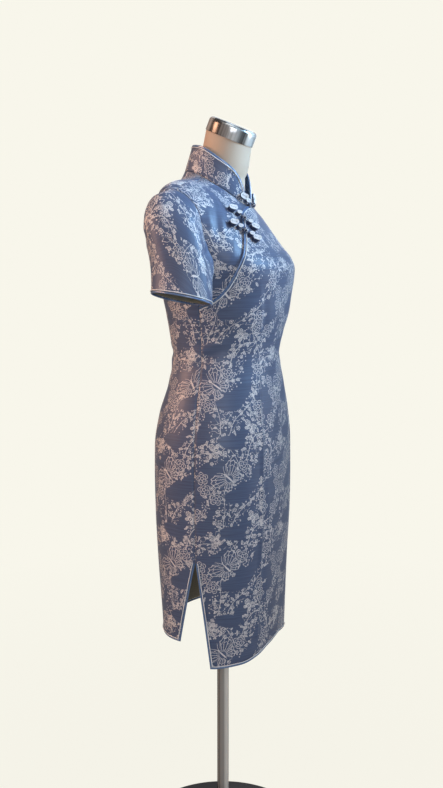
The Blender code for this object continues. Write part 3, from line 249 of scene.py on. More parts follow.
class Figure:
    """The closed surface that the dress's outer faces lie on."""

    torso_scale = 0.075
    neck_scale = 0.062
    neck_middle = 0.0104
    neck_half_depth = 0.0655
    neck_half_width = 0.0605
    neck_foot = 1.280
    neck_fillet = 0.022
    shoulder_turn = radians(101.0)

    def __init__(self) -> None:
        """Make the tables and the seam lines."""
        sections = np.array(SECTIONS) * (MM, MM, MM, MM, MM, 1, 1)
        self.table = {name: SmoothTable(sections[:, (0, k)]) for k, name in enumerate(SECTION_COLUMNS, 1)}
        self.neck_seam = SmoothTable(np.array(NECK_SEAM) * MM)
        self._turns = np.linspace(0, pi, 361)
        self._lengths = lengths_along(self.neck_ring(self._turns))
        self.shoulder_along = float(np.interp(self.shoulder_turn, self._turns, self._lengths))
        self.nape_along = float(self._lengths[-1])
        side_view = spline(ARMHOLE, closed=True) * MM
        y, z = side_view[:, 0], side_view[:, 1]
        hole = np.stack([self.side_x(y, z), y, z], -1)
        top = ARMHOLE_TOP * 24
        self.armhole_front = hole[:top + 1]
        self.armhole_back = np.concatenate([hole[top:], hole[:1]])[::-1]
        self.opening = self.onto(spline(OPENING) * MM)
        self._map_table()

    def _halves(self, y: Array, z: Array) -> tuple[Array, Array, Array]:
        """The middle, depth and power of the half section that each point lies in."""
        middle = self.table["middle"](z)
        in_front = y < middle
        depth = np.where(in_front, self.table["front"](z) + middle, self.table["back"](z) - middle)
        power = np.where(in_front, self.table["front_power"](z), self.table["back_power"](z))
        return middle, depth, power

    def field(self, points: Array, neck_in: float = 0.0, fillet: float = neck_fillet) -> Array:
        """Below zero inside the figure, above zero outside.

        Args:
            points: the points asked about.
            neck_in: how much slimmer the neck column is.
            fillet: the size of the round between neck and shoulders.

        Returns:
            A rough distance for each point.
        """
        x, y, z = points[..., 0], points[..., 1], points[..., 2]
        middle, depth, power = self._halves(y, z)
        ratio = (np.abs(x) / self.table["half_width"](z)) ** power + (np.abs(y - middle) / depth) ** power
        torso = self.torso_scale * (ratio ** (1 / power) - 1)
        ring = np.sqrt((x / self.neck_half_width) ** 2 + ((y - self.neck_middle) / self.neck_half_depth) ** 2)
        neck = self.neck_scale * (ring - 1) + neck_in + np.maximum(self.neck_foot - z, 0)
        near = np.maximum(fillet - np.abs(torso - neck), 0) / fillet
        return np.minimum(torso, neck) - near * near * fillet / 4

    def slope(self, points: Array, step: float = 0.2 * MM) -> Array:
        """The field's slope at each point."""
        made = np.zeros(points.shape)
        for axis in range(3):
            shift = np.zeros(3)
            shift[axis] = step
            made[..., axis] = (self.field(points + shift) - self.field(points - shift)) / (2 * step)
        return made

    def onto(self, points: Array, rounds: int = 12) -> Array:
        """Move points along the slope until they lie on the figure."""
        points = np.array(points, float)
        for _ in range(rounds):
            slope = self.slope(points)
            share = self.field(points) / np.maximum((slope * slope).sum(-1), 1e-9)
            points = points - share[..., None] * slope
        return points

    def outward(self, points: Array) -> Array:
        """The outward direction at each point."""
        return unit(self.slope(points))

    def level(self, angle: Values, z: Values) -> Array:
        """Points below the shoulders, by the angle from the wearer's right side and the height."""
        angle, z = np.broadcast_arrays(np.asarray(angle, float), np.asarray(z, float))
        middle, depth, power = self._halves(self.table["middle"](z) - np.sin(angle), z)
        ratio = ((np.abs(np.cos(angle)) / self.table["half_width"](z)) ** power
                 + (np.abs(np.sin(angle)) / depth) ** power)
        radius = ratio ** (-1 / power)
        return np.stack([-radius * np.cos(angle), middle - radius * np.sin(angle), z], -1)

    def side_x(self, y: Array, z: Array) -> Array:
        """How far out the figure reaches at a place seen from the side."""
        low, high = np.full(np.shape(y), 0.05), np.full(np.shape(y), 0.25)
        for _ in range(40):
            mid = (low + high) / 2
            inside = self.field(np.stack([mid, y, z], -1)) < 0
            low, high = np.where(inside, mid, low), np.where(inside, high, mid)
        return low

    def neck_ring(self, angle: Values) -> Array:
        """The neck seam, by the angle from the middle of the front, positive to the wearer's left."""
        angle = np.asarray(angle, float)
        y = self.neck_middle - self.neck_half_depth * np.cos(angle)
        return self.onto(np.stack([self.neck_half_width * np.sin(angle), y, self.neck_seam(y)], -1))

    def neck_angle(self, along: Values) -> Array:
        """The neck seam's angle at a distance along it from the middle of the front."""
        return np.sign(along) * np.interp(np.abs(along), self._lengths, self._turns)

    def across_opening(self, points: Array) -> Array:
        """From each point of the opening's edge, the direction that leads under the front."""
        return unit(np.cross(unit(np.gradient(points, axis=0)), self.outward(points)))

    def past_opening(self, points: Array) -> Array:
        """How far points lie to the right of the opening; below zero where the front covers them."""
        flat = points.reshape(-1, 3)
        nearest = np.linalg.norm(flat[:, None] - self.opening[None], axis=2).argmin(1)
        away = flat - self.opening[nearest]
        covered = (away * self.across_opening(self.opening)[nearest]).sum(1) > 0
        distance = np.linalg.norm(away, axis=1) * np.where(covered, -1, 1)
        return distance.reshape(points.shape[:-1])

    def _map_table(self) -> None:
        """Measure the figure along its levels and its uprights, for the cloth's map."""
        self._map_heights = np.linspace(0.42, 1.40, 197)
        self._maps = {}
        for back in (False, True):
            turns = np.linspace(-pi, 0, 91) + (0 if back else pi)
            places = self.level(*np.meshgrid(turns, self._map_heights))
            across, upwards = down_columns(places.swapaxes(0, 1)).T, down_columns(places)
            middle = len(turns) // 2
            self._maps[back] = (turns, across - across[:, middle:middle + 1], upwards + self._map_heights[0])

    def cloth_map(self, points: Array, back: bool = False) -> Array:
        """Metres along the cloth from the middle of the front or the back, and up from the floor.

        Args:
            points: points on the figure.
            back: whether they belong to the back panel.

        Returns:
            Two lengths for each point.
        """
        turns, *tables = self._maps[back]
        z = points[..., 2]
        turn = np.arctan2(self.table["middle"](z) - points[..., 1], -points[..., 0])
        if back:
            turn = np.where(turn > pi / 2, turn - tau, turn)
        else:
            turn = np.where(turn < -pi / 2, turn + tau, turn)
        i = (np.clip(turn, turns[0], turns[-1]) - turns[0]) / (turns[1] - turns[0])
        heights = self._map_heights
        j = (np.clip(z, heights[0], heights[-1]) - heights[0]) / (heights[1] - heights[0])
        i0 = np.minimum(i.astype(int), len(turns) - 2)
        j0 = np.minimum(j.astype(int), len(heights) - 2)
        corners = [(share_i * share_j, j0 + b, i0 + a) for b, share_j in enumerate((1 - j + j0, j - j0))
                   for a, share_i in enumerate((1 - i + i0, i - i0))]
        return np.stack([sum(share * table[row, column] for share, row, column in corners)
                         for table in tables], -1)


# --- folds and creases ---
@dataclass(frozen=True)
class Crease:
    """A soft trough along chosen points, with a lip on each side; a ridge where its depth is below zero."""

    points: Array
    width: float
    depth: float
    lip: float
    far: ClassVar[float] = 3.2                # in widths: where it ends, and its lip's place and spread
    lip_place: ClassVar[float] = 1.9
    lip_spread: ClassVar[float] = 0.75

    def height(self, at: Array, line: Array) -> Array:
        """How far the crease lifts each point.

        Args:
            at: points, one to a row.
            line: the crease's smooth line.

        Returns:
            A height for each point, below zero in the trough.
        """
        made = np.zeros(len(at))
        reach = self.far * self.width
        near = np.all((at > line.min(0) - reach) & (at < line.max(0) + reach), axis=1)
        if not near.any():
            return made
        away = np.linalg.norm(at[near][:, None] - line[None], axis=2)
        nearest = away.argmin(1)
        across = away.min(1) / self.width
        share = nearest / (len(line) - 1)
        fade = np.sin(np.pi * np.clip(share, 0, 1)) ** 0.7
        lip = self.lip * np.exp(-((across - self.lip_place) / self.lip_spread) ** 2)
        made[near] = self.depth * fade * (lip - np.exp(-across * across))
        return made


@dataclass(frozen=True)
class PressedFold:
    """A pressed fold of the front: a ridge and a dip beside it, at an angle from the side seam."""

    low: float
    high: float
    low_angle: float
    high_angle: float
    width: float
    lift: float
    dip: float
    ridge: ClassVar[tuple] = (-0.40, 3.4)     # each one's place across, in widths, and its sharpness
    trough: ClassVar[tuple] = (1.00, 0.8)

    def height(self, points: Array) -> Array:
        """How far the fold lifts each point of the front."""
        angle = np.arctan2(-points[..., 1], np.abs(points[..., 0]))
        radius = np.linalg.norm(points[..., :2], axis=-1)
        share = (points[..., 2] - self.low) / (self.high - self.low)
        middle = np.radians(self.low_angle + share * (self.high_angle - self.low_angle))
        across = (angle - middle) * radius / self.width
        fade = np.where((share > 0) & (share < 1), np.sin(np.pi * np.clip(share, 0, 1)) ** 0.5, 0)
        ridge, trough = (np.exp(-((across - place) ** 2) * sharp)
                         for place, sharp in (self.ridge, self.trough))
        return np.where(points[..., 1] < 0, fade * (self.lift * ridge - self.dip * trough), 0)


@dataclass(frozen=True)
class Sway:
    """Broad soft waves of the hanging skirt, by the angle round the figure."""

    turns: tuple = ((0.62, 0.17, 1.5), (2.75, 0.16, 1.3), (-0.50, 0.20, 1.5), (-1.05, 0.15, -1.6),
                    (-1.72, 0.19, 0.4), (-2.30, 0.16, -1.0), (-2.75, 0.17, 1.6), (1.35, 0.20, -0.9),
                    (1.95, 0.18, 0.9))
    top: float = 0.93
    foot: float = 0.50

    def height(self, points: Array) -> Array:
        """How far the waves lift each point; they deepen from the hips to the hem."""
        turn = np.arctan2(-points[..., 1], -points[..., 0])
        strength = smooth_step((self.top - points[..., 2]) / (self.top - self.foot))
        made = np.zeros(points.shape[:-1])
        for middle, width, lift in self.turns:
            drift = 0.05 * np.sin(9.0 * points[..., 2] + 3.0 * middle)
            made += lift * MM * np.exp(-((turn - middle - drift) / width) ** 2)
        return made * strength


# Each crease in millimetres: its width, its depth, the share of its lip, and its points.
CREASES = (
    # in front of the right armhole
    (8.5, 2.2, 0.45, (-118, -30, 1338), (-140, -36, 1318), (-152, -43, 1290), (-152, -52, 1262)),
    (8, 1.1, 0.4, (-84, -28, 1352), (-108, -40, 1330), (-128, -55, 1298), (-138, -66, 1262)),
    (7, 1.2, 0.3, (-148, -20, 1216), (-143, -40, 1190), (-137, -60, 1165)),
    # the padded backs of the shoulders
    (28, -9, 0, (-90, 40, 1388), (-124, 48, 1366), (-150, 50, 1338), (-160, 52, 1300)),
    (28, -8, 0, (90, 40, 1388), (124, 46, 1366), (150, 48, 1338), (160, 52, 1300)),
    # drags from the right side of the waist
    (6.5, 1.6, 0.5, (-122, 40, 1062), (-130, 12, 1068), (-130, -14, 1078), (-124, -45, 1094)),
    (7, 1.5, 0.5, (-128, 36, 1010), (-132, 4, 1030), (-128, -20, 1048), (-119, -50, 1062)),
    (8, 1, 0.3, (-133, 45, 985), (-142, 10, 998), (-136, -30, 1010)),
    (7, 1, 0.3, (-127, 50, 1108), (-135, 20, 1108), (-136, -6, 1114)),
    # the same on the left side, uneven
    (7, 1.5, 0.45, (124, 44, 1055), (130, 12, 1062), (130, -18, 1074), (122, -50, 1086)),
    (7.5, 1.3, 0.3, (129, 30, 1006), (132, 0, 1022), (127, -30, 1040)),
    (6.5, 1.1, 0.3, (130, 45, 1112), (137, 12, 1112), (136, -16, 1120)),
    (8.5, 1.9, 0.4, (118, -30, 1338), (140, -36, 1316), (152, -44, 1286), (150, -54, 1258)),
    (8, 1, 0.3, (86, -30, 1350), (110, -45, 1324), (130, -62, 1286)),
    # the middle of the front below the bust and at the waist
    (9, 0.9, 0.3, (-50, -120, 1120), (-20, -122, 1098), (20, -121, 1090), (56, -118, 1100)),
    (8, 0.8, 0.3, (-80, -98, 1046), (-40, -112, 1034), (10, -114, 1030)),
    (8, 0.9, 0.3, (85, -95, 1052), (50, -110, 1040), (18, -114, 1040)),
    # the back: waist darts, drags over the small of the back and below the collar
    (3, 1.5, 0.3, (-56, 110, 1172), (-58, 94, 1100), (-58, 86, 1045), (-60, 100, 975)),
    (3, 1.5, 0.3, (56, 110, 1172), (58, 94, 1100), (58, 86, 1045), (60, 100, 975)),
    (7.5, 1.6, 0.5, (-104, 68, 1058), (-60, 90, 1046), (-10, 96, 1052)),
    (8, 1.7, 0.5, (108, 66, 1040), (66, 88, 1030), (14, 97, 1026)),
    (8.5, 1.3, 0.3, (-90, 78, 1010), (-30, 96, 1006), (36, 96, 1000)),
    (8, 1.2, 0.3, (100, 75, 1088), (50, 96, 1082), (-14, 101, 1088)),
    (8.5, 0.9, 0.3, (-60, 86, 1392), (0, 96, 1384), (60, 86, 1392)),
    (9, 1.8, 0.4, (-150, 90, 1292), (-128, 104, 1256), (-114, 107, 1214)),
    (9, 1.6, 0.4, (152, 90, 1288), (130, 104, 1250), (120, 107, 1204)),
    # where the skirt is drawn in at the tops of its slits
    (8, 1.2, 0.3, (-166, -20, 668), (-160, -46, 700), (-148, -70, 745)),
    (8, 1.1, 0.3, (-166, 20, 672), (-160, 50, 706), (-148, 76, 750)),
    (8, 1, 0.3, (166, -22, 670), (160, -50, 708), (150, -72, 742)),
    (8, 1.2, 0.3, (166, 22, 668), (160, 48, 696), (150, 74, 738)),
)


class Drape:
    """What lies on the figure: the pressed folds, the skirt's waves and the creases."""

    pressed = (
        PressedFold(0.470, 1.000, 49.0, 52.0, 0.0080, 4.4 * MM, 3.4 * MM),
        PressedFold(1.050, 1.190, 57.0, 48.0, 0.0075, 0.7 * MM, 1.9 * MM),
    )
    sway = Sway()
    creases = [Crease(np.array(points) * MM, width * MM, depth * MM, lip)
               for width, depth, lip, *points in CREASES]

    def __init__(self, figure: Figure) -> None:
        """Lay the creases' lines on the figure."""
        self.figure = figure
        self.lines = [figure.onto(spline(crease.points, 10)) for crease in self.creases]

    def height(self, points: Array) -> Array:
        """How far the cloth stands off the figure at each point."""
        flat = points.reshape(-1, 3)
        made = sum(crease.height(flat, line) for crease, line in zip(self.creases, self.lines))
        made = made.reshape(points.shape[:-1])
        for fold in self.pressed:
            made = made + fold.height(points)
        return made + self.sway.height(points)

    def worn(self, points: Array) -> Array:
        """Points of the figure moved out to where the cloth lies."""
        return points + self.height(points)[..., None] * self.figure.outward(points)


# --- the cut pieces as grids ---
@dataclass(frozen=True)
class Cut:
    """Sizes of the cut pieces, and how fine their grids are."""

    seam_half: float = 0.2 * MM
    binding_width: float = 4.0 * MM
    binding_proud: float = 0.4 * MM
    binding_wall: float = 2.4 * MM
    piping_radius: float = 0.85 * MM
    rest_gap: float = 0.3 * MM
    wall: float = 1.3 * MM
    hem_back: float = 0.472
    slit_top: float = 0.642
    hip: float = 0.965
    underarm: float = 1.190
    side_opening: float = 1.142
    front_hem: tuple = ((0.0, 0.430), (26.0, 0.4305), (44.0, 0.438), (60.0, 0.450), (90.0, 0.458))
    slit_spread_front: float = radians(13.0)
    slit_spread_back: float = radians(18.5)
    notch: float = 0.5 * MM
    underlap_hidden: float = 0.012
    underlap_run: float = 0.022
    underlap_drop: float = 3.7 * MM
    crowd: float = 1.25
    opening_steps: int = 72
    neck_front_steps: int = 26
    neck_back_steps: int = 24
    shoulder_steps: int = 30
    armhole_steps: int = 60
    waist_steps: int = 50
    skirt_steps: int = 72
    drawn_front: tuple = (0.058, 0.030)   # how far each slit's edges hang nearer, right and left, as angles
    drawn_back: tuple = (0.085, 0.055)
    corner_drop: float = 7.0 * MM
    slit_steps: int = 40
    underlap_steps: int = 48

    @property
    def panel_back_off(self) -> float:
        """Where the panel stops beside its binding."""
        return self.binding_width + self.rest_gap + self.seam_half

    @property
    def piping_inset(self) -> float:
        """The piping's distance from the finished edge."""
        return self.panel_back_off + self.piping_radius + 0.1 * MM

    @property
    def insets(self) -> tuple:
        """The distances from an edge to a binding's outer line, its inner line and its piping."""
        return 0.0, self.binding_width, self.piping_inset

    @property
    def piping_lift(self) -> float:
        """The piping's middle above the panel."""
        return self.piping_radius + 0.5 * self.rest_gap


CUT = Cut()


def slid(line: Array, start: float, end: float, reach: float = 0.035) -> Array:
    """A line of points with its ends drawn in and the points near them moved up along it.

    Args:
        line: the points.
        start: how far the first end moves.
        end: how far the last end moves.
        reach: how far from an end points still move.

    Returns:
        As many points.
    """
    lengths = lengths_along(line)
    total = lengths[-1]
    wanted = (lengths + start * np.clip(1 - lengths / reach, 0, 1)
              - end * np.clip(1 - (total - lengths) / reach, 0, 1))
    return at_lengths(line, wanted)


def pulled_in(grid: Array, low: Values = 0.0, high: Values = 0.0,
              right: Values = 0.0, left: Values = 0.0) -> Array:
    """A grid with its four edges moved in, each by a width or a width for each point.

    Args:
        grid: rows of points, the first row lowest.
        low: the width at the first row.
        high: the width at the last row.
        right: the width at the first column.
        left: the width at the last column.

    Returns:
        A grid of as many points.
    """
    def amounts(edge: Array, inner: Array, width: Values) -> Array:
        """How far to run along the lines that meet an edge, for a width square to it."""
        run = unit(np.gradient(edge, axis=0))
        inward = unit(inner - edge)
        square = inward - (inward * run).sum(1, keepdims=True) * run
        return np.broadcast_to(width, len(edge)) / np.maximum(np.linalg.norm(square, axis=1), 0.4)

    rights, lefts = amounts(grid[:, 0], grid[:, 1], right), amounts(grid[:, -1], grid[:, -2], left)
    lows, highs = amounts(grid[0], grid[1], low), amounts(grid[-1], grid[-2], high)
    made = np.stack([slid(row, rights[i], lefts[i]) for i, row in enumerate(grid)])
    return np.stack([slid(made[:, j], lows[j], highs[j]) for j in range(made.shape[1])], 1)


class Pattern:
    """The pieces as grids on the figure: rows upwards, columns from the wearer's right to the left."""

    def __init__(self, figure: Figure) -> None:
        """Space the seam lines that the pieces share."""
        self.figure = figure
        self.armhole_front = spaced(figure.armhole_front, CUT.armhole_steps, CUT.crowd)
        self.armhole_back = spaced(figure.armhole_back, CUT.armhole_steps, CUT.crowd)
        ring = figure.neck_ring
        front = np.linspace(0, figure.shoulder_along, CUT.neck_front_steps + 1)
        back = np.linspace(figure.shoulder_along, figure.nape_along, CUT.neck_back_steps + 1)
        self.neck_front = ring(figure.neck_angle(front))
        self.neck_back = ring(figure.neck_angle(back))
        share = np.linspace(0, 1, CUT.shoulder_steps + 1)[:, None]
        self.shoulder = figure.onto(self.neck_front[-1] * (1 - share) + self.armhole_front[-1] * share)
        self.opening = spaced(figure.opening, CUT.opening_steps)
        self.waist = np.linspace(CUT.hip, CUT.underarm, CUT.waist_steps + 1)[:-1]
        self.skirt = np.concatenate([[CUT.slit_top],
                                     np.linspace(CUT.slit_top + CUT.notch, CUT.hip, CUT.skirt_steps)[:-1]])

    def filled(self, bottom: Array, top: Array, first: Array, last: Array) -> Array:
        """A grid between four edges, on the figure; first and last are its end columns, run upwards."""
        v = np.mean([shares_along(line) for line in (first, last)], axis=0)[:, None, None]
        u = np.mean([shares_along(line) for line in (bottom, top)], axis=0)[None, :, None]
        sides = (1 - u) * first[:, None] + u * last[:, None]
        ends = (1 - v) * bottom[None] + v * top[None]
        corners = ((1 - u) * (1 - v) * bottom[0] + u * (1 - v) * bottom[-1]
                   + (1 - u) * v * top[0] + u * v * top[-1])
        grid = self.figure.onto(sides + ends - corners)
        grid[0], grid[-1], grid[:, 0], grid[:, -1] = bottom, top, first, last
        return grid

    @staticmethod
    def front_turns(count: int) -> Array:
        """Column angles from the right side seam to the left, crowded over the pressed folds."""
        share = np.linspace(0, 1, 801)
        crowd = np.exp(-((share - 0.285) / 0.05) ** 2) + np.exp(-((share - 0.715) / 0.05) ** 2)
        density = 1 + 1.6 * crowd
        total = np.concatenate([[0], np.cumsum((density[1:] + density[:-1]) / 2)])
        return np.interp(np.linspace(0, total[-1], count + 1), total, share) * pi

    def skirt_rows(self, turns: Array, hem: Array, spread: float, sign: float) -> list[Array]:
        """The rows from the hem to the hips, parted below the slits' tops.

        Args:
            turns: the columns' angles from the right side.
            hem: the hem's height at each column.
            spread: how far the slit's edges part at the hem.
            sign: 1 for the front, -1 for the back.

        Returns:
            The rows, the hem first.
        """
        rows = []
        drawn_right, drawn_left = CUT.drawn_front if sign > 0 else CUT.drawn_back
        hem = hem - CUT.corner_drop * np.exp(-(turns / 0.35) ** 2) * (sign > 0)
        for part in np.linspace(0, 1, CUT.slit_steps + 1)[:-1]:
            right, left = (spread - drawn_right) * (1 - part), (spread - drawn_left) * (1 - part)
            angles = sign * (right + turns * (pi - right - left) / pi)
            rows.append(self.figure.level(angles, hem + (CUT.slit_top - hem) * part))
        rows += [self.figure.level(sign * turns, z) for z in self.skirt]
        return rows

    def front(self) -> Array:
        """The whole front; the curved opening, the neck and the shoulder are its top row."""
        figure = self.figure
        turns = self.front_turns(CUT.opening_steps + 1 + CUT.neck_front_steps + CUT.shoulder_steps)
        hem_height = SmoothTable([(radians(angle), z) for angle, z in CUT.front_hem])
        hem = hem_height(np.minimum(turns, pi - turns))
        rows = self.skirt_rows(turns, hem, CUT.slit_spread_front, 1.0)
        bottom = figure.level(turns, CUT.hip)
        left = np.concatenate([figure.level(pi, self.waist), self.armhole_front])
        right = figure.level(0.0, np.linspace(CUT.hip, CUT.side_opening, len(left)))
        notch = figure.neck_ring(figure.neck_angle(CUT.notch))[None]
        top = np.concatenate([self.opening, notch, self.neck_front[1:], self.shoulder[1:]])
        right[-1] = top[0]
        return np.concatenate([np.array(rows), self.filled(bottom, top, right, left)])

    def back(self) -> Array:
        """The whole back."""
        figure = self.figure
        turns = np.linspace(0, pi, 2 * (CUT.neck_back_steps + CUT.shoulder_steps) + 1)
        rows = self.skirt_rows(turns, np.full(len(turns), CUT.hem_back), CUT.slit_spread_back, -1.0)
        rows += [figure.level(-turns, z) for z in self.waist]
        left_half = np.concatenate([self.neck_back[::-1], self.shoulder[1:]])
        top = np.concatenate([mirrored(left_half[::-1]), left_half[1:]])
        bottom = figure.level(-turns, CUT.underarm)
        bottom[0], bottom[-1] = mirrored(self.armhole_back[0]), self.armhole_back[0]
        upper = self.filled(bottom, top, mirrored(self.armhole_back), self.armhole_back)
        return np.concatenate([np.array(rows), upper])

    def underlap(self) -> Array:
        """The right front: its lowest row is the side seam, its last column the hidden edge."""
        figure = self.figure
        steps = CUT.underlap_steps
        armhole = mirrored(spaced(figure.armhole_front, steps, CUT.crowd))
        hidden = spaced(figure.opening, steps)
        hidden = figure.onto(hidden + CUT.underlap_hidden * figure.across_opening(hidden))
        hidden[0] = figure.level(0.0, CUT.side_opening - CUT.underlap_hidden)
        hidden[-1] = figure.neck_ring(figure.neck_angle(0.8 * CUT.underlap_hidden))
        top = mirrored(np.concatenate([self.neck_front, self.shoulder[1:]]))[::-1]
        top = np.concatenate([top, hidden[-1:]])
        bend = figure.level(0.0, CUT.hip + (CUT.underarm - CUT.hip) * 7 / 8)
        upper = round(len(top) * 5 / 13)
        above = np.linspace(armhole[0], bend, upper + 1)
        below = np.linspace(bend, hidden[0], len(top) - upper)
        return self.filled(np.concatenate([above, below[1:]]), top, armhole, hidden)

    def drop(self, points: Array) -> Array:
        """How far the right front sinks so that the front lies over it."""
        share = (self.figure.past_opening(points) - 0.5 * MM) / CUT.underlap_run
        return CUT.underlap_drop * (1 - smooth_step(share))


# --- shader maths ---
def rgb(red: int, green: int, blue: int) -> Colour:
    """A screen colour, 0 to 255, as the shader's linear one."""
    def linear(value: int) -> float:
        """One channel."""
        share = value / 255
        return share / 12.92 if share <= 0.04045 else ((share + 0.055) / 1.055) ** 2.4
    return linear(red), linear(green), linear(blue)


def operator(operation: str, swapped: bool = False) -> Callable:
    """One of Python's operators as a Math node.

    Args:
        operation: the node's operation.
        swapped: whether the two values change places, for a reflected form.

    Returns:
        The method for Wire.
    """
    def method(self: "Wire", *others: "Wire | float") -> "Wire":
        """Add the node."""
        values = (self, *others)
        return self.shade.math(operation, *(values[::-1] if swapped else values))
    return method


class Wire:
    """One output socket; operators on it add Math nodes, | a union of masks and & what they share."""

    def __init__(self, shade: "Shade", socket: bpy.types.NodeSocket) -> None:
        """Wrap a socket of a shade's tree."""
        self.shade, self.socket = shade, socket

    __add__ = __radd__ = operator("ADD")
    __sub__, __rsub__ = operator("SUBTRACT"), operator("SUBTRACT", True)
    __mul__ = __rmul__ = operator("MULTIPLY")
    __truediv__, __rtruediv__ = operator("DIVIDE"), operator("DIVIDE", True)
    __pow__ = operator("POWER")
    __abs__ = operator("ABSOLUTE")
    __lt__, __gt__ = operator("LESS_THAN"), operator("GREATER_THAN")
    __or__, __and__ = operator("MAXIMUM"), operator("MINIMUM")

    def part(self, axis: int) -> "Wire":
        """One axis of a vector or one channel of a colour."""
        return Wire(self.shade, self.shade.node("ShaderNodeSeparateXYZ", {0: self}).outputs[axis])


class Shade:
    """One material or world, its tree written as expressions."""

    def __init__(self, name: str, world: bool = False) -> None:
        """Start an empty one."""
        self.owner = (bpy.data.worlds if world else bpy.data.materials).new(name)
        self.owner.use_nodes = True
        self.tree = self.owner.node_tree
        self.tree.nodes.clear()

    def node(self, kind: str, inputs: dict | None = None, **settings: object) -> bpy.types.Node:
        """Any node.

        Args:
            kind: the node's type.
            inputs: values or wires by socket name or number.
            settings: the node's own properties, set first.

        Returns:
            The node.
        """
        made = self.tree.nodes.new(kind)
        for name, value in settings.items():
            setattr(made, name, value)
        for key, value in (inputs or {}).items():
            if isinstance(value, Wire):
                self.tree.links.new(value.socket, made.inputs[key])
            else:
                made.inputs[key].default_value = value
        return made

    def wire(self, kind: str, output: str | int = 0, inputs: dict | None = None,
             **settings: object) -> Wire:
        """One output of a new node."""
        return Wire(self, self.node(kind, inputs, **settings).outputs[output])

    def math(self, operation: str, *values: Wire | float) -> Wire:
        """A Math node."""
        return self.wire("ShaderNodeMath", 0, dict(enumerate(values)), operation=operation)

    def vector(self, operation: str, *values: object) -> Wire:
        """A Vector Math node; its number for a length, else its vector."""
        output = "Value" if operation == "LENGTH" else "Vector"
        return self.wire("ShaderNodeVectorMath", output, dict(enumerate(values)), operation=operation)

    def scaled(self, vector: Wire, scale: float) -> Wire:
        """A vector times a number."""
        return self.wire("ShaderNodeVectorMath", 0, {0: vector, "Scale": scale}, operation="SCALE")

    def joined(self, x: Wire | float, y: Wire | float, z: Wire | float = 0.0) -> Wire:
        """A vector from its parts."""
        return self.wire("ShaderNodeCombineXYZ", 0, {0: x, 1: y, 2: z})

    def mixed(self, share: Wire | float, first: Wire | Colour, second: Wire | Colour) -> Wire:
        """A colour between two."""
        first, second = (c if isinstance(c, Wire) else (*c, 1.0) for c in (first, second))
        return self.wire("ShaderNodeMix", 2, {0: share, 6: first, 7: second}, data_type="RGBA")

    def chosen(self, share: Wire, first: Wire, second: Wire) -> Wire:
        """The first vector where share is 0, the second where it is 1."""
        return self.wire("ShaderNodeMix", 1, {0: share, 4: first, 5: second}, data_type="VECTOR")

    def clamped(self, value: Wire) -> Wire:
        """A value kept from 0 to 1."""
        return self.wire("ShaderNodeClamp", 0, {0: value})

    def stroke(self, distance: Wire, half: float, soft: float = 0.3) -> Wire:
        """A drawn line: 1 within half a width of where the distance is zero."""
        return self.clamped((half - abs(distance)) / soft + 0.5)

    def filled(self, distance: Wire, soft: float = 0.3) -> Wire:
        """1 where the distance is below zero."""
        return self.clamped(0.5 - distance / soft)

    def noise(self, at: Wire, scale: float, detail: float = 2.0, output: int = 0) -> Wire:
        """A noise texture's value, or with output 1 its colour."""
        return self.wire("ShaderNodeTexNoise", output, {"Vector": at, "Scale": scale, "Detail": detail})

    def sine(self, value: Wire) -> Wire:
        """Its sine."""
        return self.math("SINE", value)

    def twill(self, cloth: Wire, scale: float) -> Wire:
        """Slanting ribs."""
        return self.wire("ShaderNodeTexWave", 0, {"Vector": cloth, "Scale": scale},
                         bands_direction="DIAGONAL")

    def cloth(self) -> Wire:
        """The piece's map in metres along the cut."""
        return self.wire("ShaderNodeUVMap", 0, uv_map=CLOTH_MAP)

    def place(self) -> Wire:
        """The piece's own coordinates."""
        return self.wire("ShaderNodeTexCoord", "Object")

    def turned(self, at: Wire, angle: Wire) -> Wire:
        """A point turned round the middle."""
        return self.wire("ShaderNodeVectorRotate", 0, {"Vector": at, "Angle": angle}, rotation_type="Z_AXIS")

    def seen(self) -> Wire:
        """1 for what the camera sees itself."""
        return self.wire("ShaderNodeLightPath", "Is Camera Ray")

    def finish(self, colour: Wire, roughness: Wire | float, bump: Wire, depth: float,
               **sockets: object) -> Material:
        """Close the tree with a Principled shader.

        Args:
            colour: the base colour.
            roughness: the roughness.
            bump: heights from 0 to 1.
            depth: the real height of a full bump.
            sockets: other sockets by name, with _ for a space.

        Returns:
            The material.
        """
        normal = self.wire("ShaderNodeBump", 0, {"Strength": 1.0, "Distance": depth, "Height": bump})
        inputs = {"Base Color": colour, "Roughness": roughness, "Normal": normal}
        inputs.update({name.replace("_", " "): value for name, value in sockets.items()})
        shader = self.wire("ShaderNodeBsdfPrincipled", 0, inputs)
        self.node("ShaderNodeOutputMaterial", {0: shader})
        return self.owner


